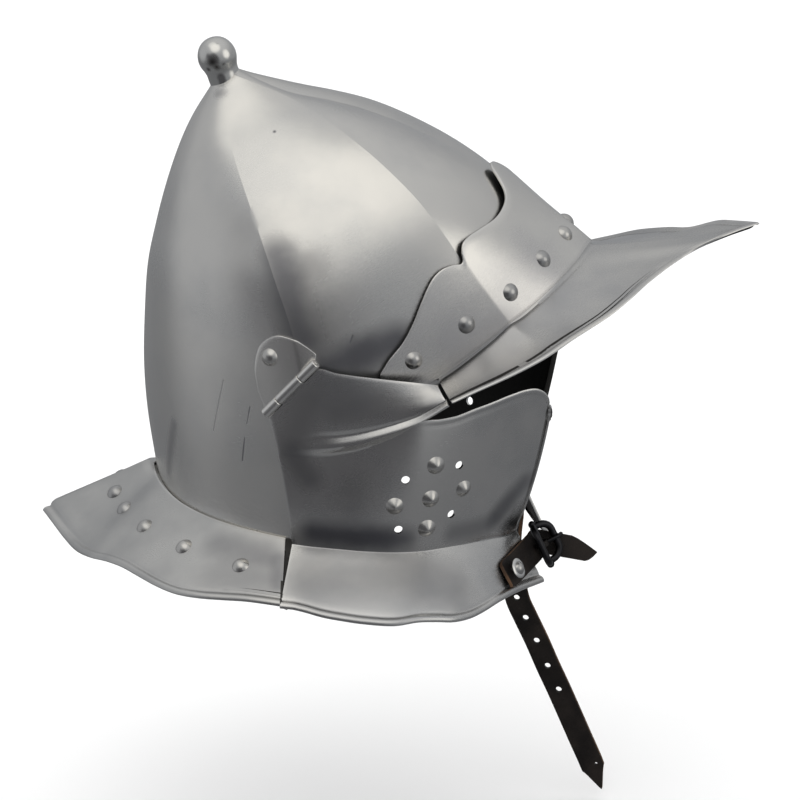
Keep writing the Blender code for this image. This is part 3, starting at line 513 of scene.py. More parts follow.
cheekSteel = steelMaterial(
    "satin cheek steel", (0.67, 0.66, 0.64), (0.53, 0.53, 0.53), 0.21, 0.32,
    stainsAndShade=cheekStainsAndShade, stainAndShadeTone=(0.15, 0.15, 0.165))
darkSteel = steelMaterial("darker plate steel", (0.565, 0.557, 0.54), (0.45, 0.45, 0.455), 0.22, 0.33)
rivetSteel = steelMaterial("rivet steel", (0.56, 0.55, 0.53), (0.40, 0.40, 0.40), 0.22, 0.34, 0.3, edgeWear=0)
brightSteel = steelMaterial(
    "bright washer steel", (0.75, 0.74, 0.72), (0.6, 0.6, 0.6), 0.16, 0.28, 0.3, edgeWear=0)
blackIron = steelMaterial(
    "blackened iron", (0.035, 0.035, 0.038), (0.018, 0.018, 0.02), 0.35, 0.5, 0.4, edgeWear=0)
darkLeather = leatherMaterial(
    "dark brown leather", (0.007, 0.0052, 0.0045), (0.016, 0.0115, 0.009), 0.55, 1500)
cutLeather = leatherMaterial("cut leather edge", (0.04, 0.022, 0.012), (0.1, 0.055, 0.03), 0.75, 900)
print("materials made")

# Geometry node trees for what repeats.


def geometryTree(name, inputs):
    shape = ("Geometry", "Geometry")
    return newTree("Geometry", name, (shape, *inputs, ("Material", "Material")), (shape,))


def finishTree(tree, into, out, shape):
    real = addNode(tree, "GeometryNodeRealizeInstances", {0: shape}).outputs[0]
    surface = addNode(tree, "GeometryNodeSetMaterial", {0: real, "Material": into.outputs["Material"]})
    feed(tree, out, {0: surface.outputs[0]})
    return tree


def namedValue(tree, name, kind):
    return addNode(tree, "GeometryNodeInputNamedAttribute", {"Name": name}, data_type=kind).outputs[0]


def setOnPoints(tree, into, out, shape):
    # stands a shape on every point along the point's own "way", a little unevenly
    way = namedValue(tree, "way", "FLOAT_VECTOR")
    turn = addNode(tree, "FunctionNodeAlignRotationToVector", {"Vector": way}, axis="Z")
    vary = addNode(tree, "FunctionNodeRandomValue", {2: 0.97, 3: 1.03, "Seed": into.outputs["Seed"]},
                   data_type="FLOAT")
    stand = addNode(tree, "GeometryNodeInstanceOnPoints", {
        "Points": into.outputs["Geometry"], "Instance": shape,
        "Rotation": turn.outputs[0], "Scale": vary.outputs[1]})
    return finishTree(tree, into, out, stand.outputs[0])


def makeDomeTree():
    # domed heads with a shank and a flat tail
    tree, into, out = geometryTree("domed heads", (
        ("Radius", "Float", 0.0044), ("Rise", "Float", 0.0023), ("Roundness", "Float", 2.2),
        ("Shank radius", "Float", 0.0018), ("Tail radius", "Float", 0.0032), ("Reach", "Float", 0.004),
        ("Under", "Float", 0.0009), ("Sides", "Int", 32), ("Seed", "Int", 4)))
    given, calc = into.outputs, partial(maths, tree)
    ball = addNode(tree, "GeometryNodeMeshUVSphere", {"Radius": 1, "Segments": given["Sides"], "Rings": 22})
    place = tree.nodes.new("GeometryNodeInputPosition").outputs[0]
    x, y, z = addNode(tree, "ShaderNodeSeparateXYZ", {0: place}).outputs
    radial = calc("SQRT", calc("ADD", calc("MULTIPLY", x, x), calc("MULTIPLY", y, y)))
    crown = calc("SUBTRACT", 1.0, calc("POWER", radial, given["Roundness"]))
    above = calc("GREATER_THAN", z, 0.0)
    upper = calc("MULTIPLY", calc("MULTIPLY", crown, given["Rise"]), above)
    lower = calc("MULTIPLY", calc("MULTIPLY", z, given["Under"]), calc("SUBTRACT", 1.0, above))
    dome = addNode(tree, "ShaderNodeCombineXYZ", {
        0: calc("MULTIPLY", x, given["Radius"]), 1: calc("MULTIPLY", y, given["Radius"]),
        2: calc("ADD", upper, lower)})
    form = addNode(tree, "GeometryNodeSetPosition", {
        "Geometry": ball.outputs[0], "Position": dome.outputs[0]})
    smooth = addNode(tree, "GeometryNodeSetShadeSmooth", {0: form.outputs[0]})
    joined = addNode(tree, "GeometryNodeJoinGeometry", {0: smooth.outputs[0]})
    for radius, deep, middle in (("Shank radius", 1.0, -0.5), ("Tail radius", 0.16, -1.0)):
        post = addNode(tree, "GeometryNodeMeshCylinder", {
            "Vertices": 16, "Radius": given[radius], "Depth": calc("MULTIPLY", given["Reach"], deep)})
        shift = addNode(tree, "ShaderNodeCombineXYZ", {2: calc("MULTIPLY", given["Reach"], middle)})
        move = addNode(tree, "GeometryNodeTransform", {
            "Geometry": post.outputs[0], "Translation": shift.outputs[0]})
        feed(tree, joined, {0: move.outputs[0]})
    return setOnPoints(tree, into, out, joined.outputs[0])


def makePunchTree():
    # round punches that cut holes
    tree, into, out = geometryTree("round punches", (
        ("Radius", "Float", 0.0022), ("Depth", "Float", 0.012), ("Sides", "Int", 28), ("Seed", "Int", 2)))
    post = addNode(tree, "GeometryNodeMeshCylinder", {
        "Vertices": into.outputs["Sides"], "Radius": into.outputs["Radius"], "Depth": into.outputs["Depth"]})
    return setOnPoints(tree, into, out, post.outputs[0])


domeTree, punchTree = makeDomeTree(), makePunchTree()


def runTree(piece, tree, values):
    made = piece.modifiers.new(tree.name, "NODES")
    made.node_group = tree
    for item in tree.interface.items_tree:
        if item.item_type == "SOCKET" and item.in_out == "INPUT" and item.name in values:
            made[item.identifier] = values[item.name]
    return settle(piece)


def onPoints(name, tree, places, ways, values):
    mesh = bpy.data.meshes.new(name)
    mesh.from_pydata([tuple(np.array(p) * mm) for p in places], [], [])
    kept = mesh.attributes.new("way", "FLOAT_VECTOR", "POINT")
    kept.data.foreach_set("vector", np.array(ways, np.float32).ravel())
    made = addObject(name, mesh, values["Material"])
    runTree(made, tree, values)
    return made


def punch(target, places, ways, radius, depth=12):
    values = {"Radius": radius * mm, "Depth": depth * mm, "Material": target.data.materials[0]}
    return joinBy(target, onPoints("punches", punchTree, places, ways, values), "DIFFERENCE")


# Skull.

skullShape = {
    "wall": 1.5,
    "centre": (-5, 0, 20),
    "bulge": (0.085, 0.045, 0.15),   # per facet, as a share of its width
    "sideCutRow": 8,
    "frontStops": (0, 0.02, 0.06, 0.94, 0.975, 1, 1.025, 1.06, 1.94, 1.975, 2),
    "frontSteps": (1, 1, 14, 2, 1, 1, 1, 14, 2, 1),
    "rearStops": (2, 2.02, 2.06, 2.94, 2.98, 3),
    "rearSteps": (1, 1, 18, 1, 1),
    "rows": (0, 9),
    "rowSteps": (54,),
    "flangeReaches": (0.8, 1.8, 3, 5, 9, 14, 20, 26, 31),      # out along the turned nape
}
# Ridge stations from the finial down. Columns: front, side-front, side and rear ridge.
ridgeStations = (
    ((-56.4, 0, 149.3), (-58.5, -5.6, 148), (-64.3, -7.8, 143.8), (-70.3, 0, 140.4)),
    ((-34, 0, 138.5), (-32, -13, 140), (-59, -27, 127.5), (-80.5, 0, 124)),
    ((-10, 0, 134), (-12, -25, 132.5), (-54, -43, 114.5), (-88, 0, 107)),
    ((14, 0, 127.5), (5, -37, 124), (-46, -59, 98.5), (-94.8, 0, 86.5)),
    ((37, 0, 118), (21, -46, 113.5), (-38, -71, 81), (-100.2, 0, 66)),
    ((60, 0, 106), (38, -55, 99.5), (-30, -82, 62.5), (-104.6, 0, 45)),
    ((80, 0, 93), (52, -61, 83.5), (-22, -90, 42), (-106.6, 0, 20)),
    ((100, 0, 77), (66, -63, 63), (-16, -95, 18), (-107.6, 0, -8)),
    ((112, 0, 68), (77, -61, 47), (-16, -97, -20), (-106.2, 0, -35)),
    ((121, 0, 60.5), (84, -59, 37), (-20, -94, -70), (-102, 0, -66)),
)
ridgeTables = [np.array(ridgeStations, float)[:, k] for k in range(4)]
skullCentre = np.array(skullShape["centre"], float)


def ridgeSlope(ridge, row):
    return tableAt(ridgeTables[ridge], row + 0.05) - tableAt(ridgeTables[ridge], row - 0.05)


def skinParts(across, row):
    # what a facet's rule needs: its two ridges, the way down, the share across and the bulge
    sector = int(min(max(math.floor(across), 0), 2))
    s = across - sector
    a, b = tableAt(ridgeTables[sector], row), tableAt(ridgeTables[sector + 1], row)
    down = ridgeSlope(sector, row) * (1 - s) + ridgeSlope(sector + 1, row) * s
    return a, b, down, s, skullShape["bulge"][sector]


def skinPoint(across, row, out=0.0):
    a, b, down, s, bulge = skinParts(across, row)
    chord = b - a
    normal = unit(np.cross(chord, down))
    point = a + chord * s
    if normal @ (point - skullCentre) < 0:
        normal = -normal
    point = point + normal * (bulge * np.linalg.norm(chord) * 4 * s * (1 - s))
    if out:
        point = point + skinNormal(across, row) * out
    return point


def skinNormal(across, row):
    step = 0.02
    left, right = max(across - step, 0), min(across + step, 3)
    sideways = skinPoint(right, row) - skinPoint(left, row)
    down = skinPoint(across, row + step) - skinPoint(across, row - step)
    if left == 0 or right == 3:
        down[1] = 0
        sideways[0] = sideways[2] = 0
    normal = unit(np.cross(sideways, down))
    return normal if normal @ (skinPoint(across, row) - skullCentre) > 0 else -normal


# Neck guard, whose root the skull's own flange follows.

neckShape = {
    "tongue": 3.2,      # how far the front end runs on under the collar
    "lip": 1.9,         # and how far it stands forward at the skull
    "shadedSlotStart": 0.3,   # from where on its steel is painted dark, as painted shade in the slot
    "tuck": 2.3, "stepDown": 0.9, "endDown": 1.2,       # how it steps in and down there
    "wall": 1.4, "gap": 0.3, "keel": 3.0, "under": (-60, 0, -400),
    "rivets": (2.22, 2.49, 2.72, 2.88, 2.955),
    "rivetReach": 25,
    "columns": 78,
    "steps": (0, 0.04, 0.1, 0.18, 0.27, 0.36, 0.45, 0.54, 0.63, 0.72, 0.8, 0.86),
}
# Columns: place across the skull (2 side ridge, 3 rear ridge), rim x, y, z.
neckStations = (
    (2.05, -24.5, -129, -91.5), (2.12, -33, -127.5, -91), (2.2, -43, -125, -91),
    (2.29, -55, -121.5, -92), (2.38, -67, -117.5, -93), (2.47, -79, -111, -93.8),
    (2.55, -90, -102, -93.5), (2.63, -101, -90.5, -92.8), (2.7, -110.5, -79.5, -92.6),
    (2.77, -120, -69.5, -93.6), (2.83, -130, -59.5, -95.6), (2.89, -139.5, -43.5, -98.4),
    (2.94, -148.5, -26, -98.6), (2.975, -156, -12, -97), (3, -163, 0, -94.5),
)


def neckRim(where):
    return columnsAt(neckStations, max(where, 2.05))


def neckUp(where):
    inner = skinPoint(where, 9)
    a, b = max(where - 0.03, 2.05), min(where + 0.03, 3)
    up = np.cross(neckRim(b) - neckRim(a), neckRim(where) - inner)
    if where >= 2.995:
        up[1] = 0
    up = unit(up)
    return up if up[2] > 0 else -up


def neckPoint(where, reach, above):
    inner = skinPoint(where, 9)
    return inner + unit(neckRim(where) - inner) * reach + neckUp(where) * above


def neckKeel(where):
    share = max(0.0, 1 - (3 - where) / 0.11)
    return neckShape["keel"] * share * share * (3 - 2 * share)


# A turned rim: back from the edge in widths of the bead, then its rise in heights of the bead.
rimProfile = (
    (1.32, -0.02), (1.12, -0.16), (0.98, -0.3), (0.84, 0.0), (0.68, 0.72), (0.5, 1.0),
    (0.3, 0.95), (0.13, 0.6), (0.04, 0.15), (0, -0.3),
)


def rimRows(inner, rim, steps, side, sag=0.0, width=5.2, bead=1.1):
    # rows from an inner line out to a rim, with a groove and a turned bead along that rim
    inner, rim = np.array(inner, float), np.array(rim, float)
    ups = []
    for k in range(len(rim)):
        along = rim[min(k + 1, len(rim) - 1)] - rim[max(k - 1, 0)]
        up = np.cross(along, rim[k] - inner[k])
        size = np.linalg.norm(up)
        up = up / size if size > 1e-6 else np.array(side, float)
        ups.append(up if up @ np.array(side, float) > 0 else -up)
    ups = np.array(ups)
    rows = [inner + (rim - inner) * step - ups * (sag * 4 * step * (1 - step)) for step in steps]
    length = np.linalg.norm(rim - inner, axis=1)[:, None]
    for back, rise in rimProfile:
        share = np.maximum(1 - back * width / length, 0.5)
        rows.append(inner + (rim - inner) * share + ups * (rise * bead - sag * 4 * share * (1 - share)))
    return rows


def makeFacetTree():
    # the skull's rule: each facet spans two ridges and bulges out between them
    tree, into, out = geometryTree("facet form", (
        ("Fullness", "Float", 1.0), ("Centre", "Vector", (0, 0, 0)), ("Hammer", "Float", 0.00025),
        ("Hammer size", "Float", 22.0), ("Seed", "Float", 3.0)))
    given, calc, vector = into.outputs, partial(maths, tree), partial(vectorMaths, tree)
    left, right, down = (namedValue(tree, name, "FLOAT_VECTOR")
                         for name in ("ridgeLeft", "ridgeRight", "downWay"))
    share, bulge = (namedValue(tree, name, "FLOAT") for name in ("share", "bulge"))
    chord = vector("SUBTRACT", right, left)
    base = vector("ADD", left, vector("SCALE", chord, scale=share))
    normal = vector("NORMALIZE", vector("CROSS_PRODUCT", chord, down))
    facing = calc("SIGN", vector("DOT_PRODUCT", normal, vector("SUBTRACT", base, given["Centre"])))
    arch = calc("MULTIPLY", calc("MULTIPLY", share, calc("SUBTRACT", 1.0, share)), 4.0)
    rise = calc("MULTIPLY", calc("MULTIPLY", arch, vector("LENGTH", chord)),
                calc("MULTIPLY", bulge, given["Fullness"]))
    uneven = addNode(tree, "ShaderNodeTexNoise", noise_dimensions="4D")
    feed(tree, uneven, {"Vector": base, "W": given["Seed"], "Scale": given["Hammer size"], "Detail": 1})
    dent = calc("MULTIPLY", calc("SUBTRACT", uneven.outputs[0], 0.5), given["Hammer"])
    lift = calc("MULTIPLY", calc("ADD", rise, calc("MULTIPLY", dent, arch)), facing)
    place = vector("ADD", base, vector("SCALE", normal, scale=lift))
    form = addNode(tree, "GeometryNodeSetPosition", {"Geometry": given["Geometry"], "Position": place})
    return finishTree(tree, into, out, form.outputs[0])


facetTree = makeFacetTree()


def sharpenRidges(mesh):
    # the facets meet at a crisp line: both ends of such an edge lie on a ridge
    share = np.empty(len(mesh.vertices), np.float32)
    mesh.attributes["share"].data.foreach_get("value", share)
    onRidge = (share < 0.001) | (share > 0.999)
    for edge in mesh.edges:
        if onRidge[edge.vertices[0]] and onRidge[edge.vertices[1]]:
            edge.use_edge_sharp = True


def makeSkull():
    cut = skullShape["sideCutRow"]
    rows = spread(skullShape["rows"], skullShape["rowSteps"])
    fronts = spread(skullShape["frontStops"], skullShape["frontSteps"])
    rears = spread(skullShape["rearStops"], skullShape["rearSteps"])
    rules = {}

    def station(across, row):
        a, b, down, s, bulge = skinParts(across, row)
        point = skinPoint(across, row)
        rules[tuple(np.round(point, 3))] = (a, b, down, s, bulge)
        return point

    front, rear = [], []
    for row in rows:
        lower = [row if row <= cut or across <= 1 else cut + (row - cut) * (2 - across) for across in fronts]
        front.append([station(across, at) for across, at in zip(fronts, lower)])
        rear.append([station(across, row) for across in rears])
    for reach in skullShape["flangeReaches"]:
        rear.append([neckPoint(max(across, 2.04), reach, -0.06 * reach) for across in rears])

    def facet(piece):
        mesh = piece.data
        data = {"ridgeLeft": [], "ridgeRight": [], "downWay": [], "share": [], "bulge": []}
        for vertex in mesh.vertices:
            place = np.array(vertex.co) / mm
            a, b, down, s, bulge = rules.get(tuple(np.round(place, 3)), (place, place, (0, 0, 1), 0.5, 0.0))
            for key, value in zip(data, (np.array(a) * mm, np.array(b) * mm, np.array(down) * mm, s, bulge)):
                data[key].append(value)
        for key, values in data.items():
            wide = key in ("ridgeLeft", "ridgeRight", "downWay")
            kept = mesh.attributes.new(key, "FLOAT_VECTOR" if wide else "FLOAT", "POINT")
            kept.data.foreach_set("vector" if wide else "value", np.array(values, np.float32).ravel())
        runTree(piece, facetTree, {"Centre": Vector(skullShape["centre"]) * mm, "Material": skullSteel})

    made = plate("skull_shell", [front, rear], skullShape["wall"], (skullSteel, insideSteel),
                 skullShape["centre"], True, shape=facet, inside=True)
    sharpenRidges(made.data)
    standFor(made, "helmet", "skull")


makeSkull()
print("skull made")

# Finial, welded to the skull's top.

finialShape = {
    "foot": (-61.5, 0, 139.5),
    "lean": 19,
    "steps": 56,
    "profile": (
        (0, 27.4), (2.6, 27.1), (5.2, 26), (7.4, 24.1), (9.1, 21.2), (9.9, 17.8), (9.7, 14.8), (8.9, 12.3),
        (8.4, 10.6), (8.2, 9), (8.2, 7.4), (8.2, 5.6), (8.2, 3.8), (8.2, 2), (8.2, 0.2), (8.2, -1.5),
        (8.2, -3.4), (0, -3.6)),
}


def makeFinial():
    lean = math.radians(finialShape["lean"])
    axis = (-math.sin(lean), 0, math.cos(lean))
    profile = finialShape["profile"]
    count = len(profile) - 3
    smooth = [tuple(tableAt(profile, k / 3)) for k in range(count * 3 + 1)] + list(profile[-2:])
    smooth[0] = (0, smooth[0][1])
    smooth = [(max(r, 0), h) for r, h in smooth]
    made = turned("finial_knob", smooth, finialShape["steps"],
                  placeFrom(finialShape["foot"], axis, (0, 1, 0)), finialSteel)
    standFor(made, "helmet", "skull")


makeFinial()

# Brow plate.

browShape = {
    "flangeOut": 0.7, "gap": 0.3, "wall": 1.4,
    "columns": 96, "steps": 16,
    "rivets": ((0.14, 8.0), (0.49, 7.98), (0.87, 8.0), (1.15, 7.88), (1.43, 7.78)),
}
browOut = browShape["flangeOut"] + 2 * browShape["wall"] + browShape["gap"]
# Columns: place across the skull, row of its upper edge, row of its lower edge.
browEdges = (
    (0, 5.5, 9.1), (0.08, 5.62, 9.12), (0.16, 5.85, 9.14), (0.24, 6.1, 9.16), (0.33, 6.27, 9.16),
    (0.45, 6.37, 9.14), (0.56, 6.41, 9.12), (0.66, 6.4, 9.1), (0.77, 6.37, 9.08),
    (0.87, 6.35, 9.06), (0.94, 6.38, 9.04), (0.985, 6.5, 9.02), (1.015, 6.68, 8.98),
    (1.06, 6.62, 8.9), (1.12, 6.58, 8.78), (1.18, 6.62, 8.66), (1.24, 6.74, 8.57),
    (1.31, 6.94, 8.48), (1.38, 7.17, 8.4), (1.46, 7.38, 8.3), (1.54, 7.5, 8.2),
    (1.6, 7.64, 8.12),
)


def makeBrowPlate():
    last = len(browEdges) - 1
    rows = []
    keyed = [tableAt(browEdges, last * k / browShape["columns"]) for k in range(browShape["columns"] + 1)]
    for step in range(browShape["steps"] + 1):
        f = step / browShape["steps"]
        rows.append([skinPoint(max(a, 0), top + (low - top) * f, browOut) for a, top, low in keyed])
    made = plate("brow_sheet", [rows], browShape["wall"], (plateSteel, insideSteel),
                 skullShape["centre"], True, inside=True)
    standFor(made, "helmet", "brow_plate")


makeBrowPlate()

# Peak.

peakShape = {
    "wall": 1.4, "flangeRows": 1.05, "hollow": 2.2, "columns": 96,
    "under": (80, 0, -200),     # a place under the sheet, so that its faces point away from it
    "steps": (0, 0.03, 0.07, 0.12, 0.18, 0.25, 0.32, 0.4, 0.48, 0.56, 0.64, 0.72, 0.8, 0.87),
}
# Columns: place across the skull, row where it bends outward, rim x, y, z.
peakStations = (
    (0, 9.27, 209.5, 0, 73.5), (0.06, 9.28, 199, -7.5, 71.8), (0.12, 9.29, 190, -14, 69.7),
    (0.24, 9.31, 176, -20, 64), (0.38, 9.29, 165, -32, 60), (0.54, 9.26, 153.7, -46, 54.7),
    (0.64, 9.24, 146.5, -56, 50.5), (0.77, 9.21, 135.5, -67.5, 44.2), (0.93, 9.17, 118.5, -80, 36),
    (1.05, 9.02, 105, -88.5, 28.5), (1.15, 8.83, 89, -94.5, 21), (1.25, 8.67, 71, -99.5, 13.6),
    (1.33, 8.55, 59.5, -102.5, 8.6),
)


def makePeak():
    outer = browShape["flangeOut"] + peakShape["wall"]
    last = len(peakStations) - 1
    keyed = [tableAt(peakStations, last * k / peakShape["columns"]) for k in range(peakShape["columns"] + 1)]
    keyed[0][3] = 0
    bend = [skinPoint(max(s[0], 0), s[1], outer) for s in keyed]
    rim = [s[2:] for s in keyed]
    flange = [[skinPoint(max(s[0], 0), s[1] - peakShape["flangeRows"] * share, outer) for s in keyed]
              for share in (1, 0.75, 0.5, 0.25, 0.08)]
    rows = flange + rimRows(bend, rim, peakShape["steps"], (-0.3, 0, 1), peakShape["hollow"])
    made = plate("peak_sheet", [rows], peakShape["wall"], (darkSteel, insideSteel),
                 peakShape["under"], True, inside=True)
    standFor(made, "helmet", "peak")


makePeak()


def makeNeckGuard():
    inner, rim, places = [], [], []
    last = len(neckStations) - 1
    for k in range(neckShape["columns"] + 1):
        where = tableAt(neckStations, last * k / neckShape["columns"])[0]
        where = min(where, 3)
        places.append(where)
        inner.append(neckPoint(where, neckShape["gap"] + 0.4, neckShape["gap"] + neckShape["wall"]))
        rim.append(neckRim(where) + np.array((0, 0, neckKeel(where) * 0.4)))
    rim[-1][1] = 0
    rows = rimRows(inner, rim, neckShape["steps"], (0, 0, 1))
    count = len(neckShape["steps"])
    for number, row in enumerate(rows):
        share = min(number, 1, max(0.0, 1 - (number - count + 1) / 5))
        for k, where in enumerate(places):
            row[k] = row[k] + neckUp(where) * neckKeel(where) * share
    for number, row in enumerate(rows):      # its front end runs on a little under the collar
        ahead, down = unit(row[0] - row[1]), -neckUp(places[0])
        share = min(1.0, number / 4)
        inward = np.array((0, neckShape["tuck"] * (1 - share), 0))
        lip = row[0] + ahead * neckShape["lip"] * (1 - number / (len(rows) - 1))
        step = lip + ahead * 0.35 + down * neckShape["stepDown"] * share + inward
        end = step + ahead * neckShape["tongue"] + down * neckShape["endDown"] * share
        rows[number] = np.vstack((end, step, lip, row))
    made = plate("neck_sheet", [rows], neckShape["wall"], (neckSteel, insideSteel),
                 neckShape["under"], True, inside=True)
    paintedShadeFrom = (rows[0][2][0] + neckShape["shadedSlotStart"]) * mm
    for face in made.data.polygons:      # painted shade: the steel in the slot beside the collar gets the dark inner surface
        if face.center.x > paintedShadeFrom:
            face.material_index = 1
    standFor(made, "helmet", "neck_guard")


makeNeckGuard()
print("brow plate, peak and neck guard made")

# Cheek pieces.

cheekShape = {
    "wall": 1.4, "bulge": 2.4,
    # raised beads along the front edge (place across its last strip) and the top edge (share down)
    "edgeBead": ((0, 0), (0.18, 0), (0.36, -0.7), (0.5, 0.5), (0.68, 1.1), (0.86, 1.0), (1, 0.2)),
    "topBead": ((0, 0.3), (0.012, 0.7), (0.026, 0.6), (0.04, -0.35), (0.06, 0), (1, 0)),
    "bosses": ((50.8, -27.9), (48.3, -45.7), (64.2, -43.5), (30.6, -48.2), (46.3, -61.9)),
    "holes": ((36, -34.5), (62.2, -29.9), (58.2, -56.6), (32.4, -61.3)),
    "bossRadius": 4.6, "bossRise": 2.8, "bossShank": 2.0, "bossReach": 1.2, "holeRadius": 2.2,
    "tabSpot": (86.3, -97.5),       # x and z of the tab's rivet on the collar
    "within": (20, 0, 20),      # a place inside, so that the sheet's faces point away from it
    # shares down the band and the face, with the steps between them, and shares out along the collar
    "bandShares": ((0, 0.76, 0.96, 1), (12, 10, 2)),
    "faceShares": ((0, 0.045, 0.12, 0.9, 0.97, 1), (6, 4, 16, 2, 2)),
    "collarSteps": (0, 0.02, 0.06, 0.12, 0.2, 0.3, 0.4, 0.5, 0.6, 0.7, 0.78),
    "cornerShift": (-1.6, 0, -0.5),
    "bandLift": ((0, 0), (0.12, 0.5), (0.3, 0.9), (0.5, 1.0), (0.65, 0.8), (0.78, 0.1), (0.85, -0.9),
                 (0.9, -0.2), (0.95, 0.5), (1, 0.6)),
}
bandTop = (
    (-33.4, -94.6, -2.2), (-20.8, -96.6, 11), (-9.2, -98, 22.6), (2, -98.2, 21),
    (14, -97.9, 19.5), (30, -96.4, 17.5), (43, -94.6, 15.8), (51.5, -92.4, 14.2),
)
bandCrease = (
    (-28, -97.4, -20), (-18, -98.8, -19.6), (-7, -99.8, -18.6), (2, -100.5, -17.2),
    (14, -101.4, -14.2), (29, -102, -8.6), (43.5, -102.5, -1.8), (57.4, -104, 8.2),
)
faceTop = (
    (-27.6, -97.6, -22.5), (-17.5, -98.5, -23.5), (-6.5, -98.4, -23.2), (2.5, -98.1, -21.8),
    (14.5, -98, -18.6), (29.5, -96.9, -12.6), (43.5, -94.8, -4.6), (53, -91.4, -4),
    (61, -88.2, -3), (69, -84, -0.8), (77, -79.5, 1), (86, -73.8, 3.2), (94.5, -68, 4.5),
    (100.8, -63.2, 3.2), (105.4, -59.4, -2.4), (106, -56.8, -14),
)
collarLine = (
    (-21.4, -96.2, -71), (-12, -97, -71.8), (-3, -97.6, -72.2), (5, -98, -72.6),
    (15, -98.2, -73.1), (29, -96.4, -74), (41, -92.9, -74.6), (49, -88.6, -75),
    (57, -82, -75.8), (64, -75, -77), (70.5, -67, -78.4), (77, -58, -80.2),
    (82, -50.5, -81.8), (85.2, -44.5, -82.8), (87.4, -40, -83.2), (88.8, -36.5, -83.2),
)
collarRim = (
    (-23, -129.6, -91.8), (-13, -130.8, -93.4), (-3.5, -132, -95.5), (6, -132.4, -97),
    (18, -132.4, -98.5), (32.5, -131, -99.6), (44, -126, -99.4), (53, -121, -100.9),
    (61.5, -115, -103.2), (69, -105.5, -105), (75.5, -94.5, -105.6), (82, -81, -106),
    (88, -66, -107.8), (93.2, -52, -110.3), (98, -42, -112), (103, -33, -113.2),
)
hingeShape = {
    "leafGap": 0.4, "leafWall": 1.2,
    "low": (-34.5, -95, -2.2), "high": (-8.5, -98.6, 26.4),
    "knuckle": 2.6, "pin": 1.1, "clear": 0.35, "chamfer": 0.3, "sides": 32,
    "splits": (0.26, 0.7), "slit": 0.008,      # shares of the barrel's length
}
hingeLow, hingeHigh = np.array(hingeShape["low"], float), np.array(hingeShape["high"], float)
leafOut = hingeShape["leafGap"] + hingeShape["leafWall"]


def hingeAt(share):
    return hingeLow * (1 - share) + hingeHigh * share


def clearBarrel(piece, start, end):
    # cuts room for the other piece's knuckles
    h = hingeShape
    tool = rod("clear", hingeAt(start), hingeAt(end), h["knuckle"] + h["clear"], h["sides"], plateSteel)
    joinBy(piece, tool, "DIFFERENCE")


def cheekGrids():
    sharedSteps = 36        # the band and the face meet along their first columns
    out = np.array((0, -1, 0), float)
    bandStops = spread((0, 6, 7), (sharedSteps, 8))
    faceStops = spread((0, 6, 14, 15), (sharedSteps, 48, 14))
    lifts = np.array(cheekShape["bandLift"], float)
    band = []
    for f in spread(*cheekShape["bandShares"]):
        lift = float(np.interp(f, lifts[:, 0], lifts[:, 1]))
        row = []
        for k in bandStops:
            a, b = tableAt(bandTop, k), tableAt(bandCrease, k)
            fade = min(1.0, max(0.0, (k - 0.8) / 2.4))
            row.append(a + (b - a) * f + out * lift * fade)
        band.append(row)
    top = [tableAt(faceTop, k) for k in faceStops]
    line = [tableAt(collarLine, k) for k in faceStops]
    rim = [tableAt(collarRim, k) for k in faceStops]
    for n in range(3):     # the collar's rear corner runs a little under the neck guard
        rim[n] = rim[n] + np.array(cheekShape["cornerShift"]) * (3 - n) / 3
    count = sharedSteps + 1
    step = [a + (b - a) * 0.5 + out * -0.35 * min(1.0, n / 16)
            for n, (a, b) in enumerate(zip(band[-1][:count], top[:count]))]
    neck = [band[-1][:count], step, top[:count]]
    face = []
    bead, edge = np.array(cheekShape["edgeBead"], float), np.array(cheekShape["topBead"], float)
    for f in spread(*cheekShape["faceShares"]):
        row = []
        for k, a, b in zip(faceStops, top, line):
            lift = float(np.interp(k - 14, bead[:, 0], bead[:, 1])) * (1 - f ** 6)
            lift += float(np.interp(f, edge[:, 0], edge[:, 1])) * min(1.0, max(0.0, (k - 6) / 2))
            side = unit((0.35 + 0.4 * k / 15, -1, 0))
            row.append(a + (b - a) * f + side * (cheekShape["bulge"] * 4 * f * (1 - f) + lift))
        face.append(row)
    return [band, neck, face, rimRows(line, rim, cheekShape["collarSteps"], (0, 0, 1))]


def faceHit(target, x, z):
    place, normal = target.ray_cast(Vector((x, -200, z)) * mm, Vector((0, 1, 0)))[1:3]
    return np.array(place) / mm, np.array(normal)


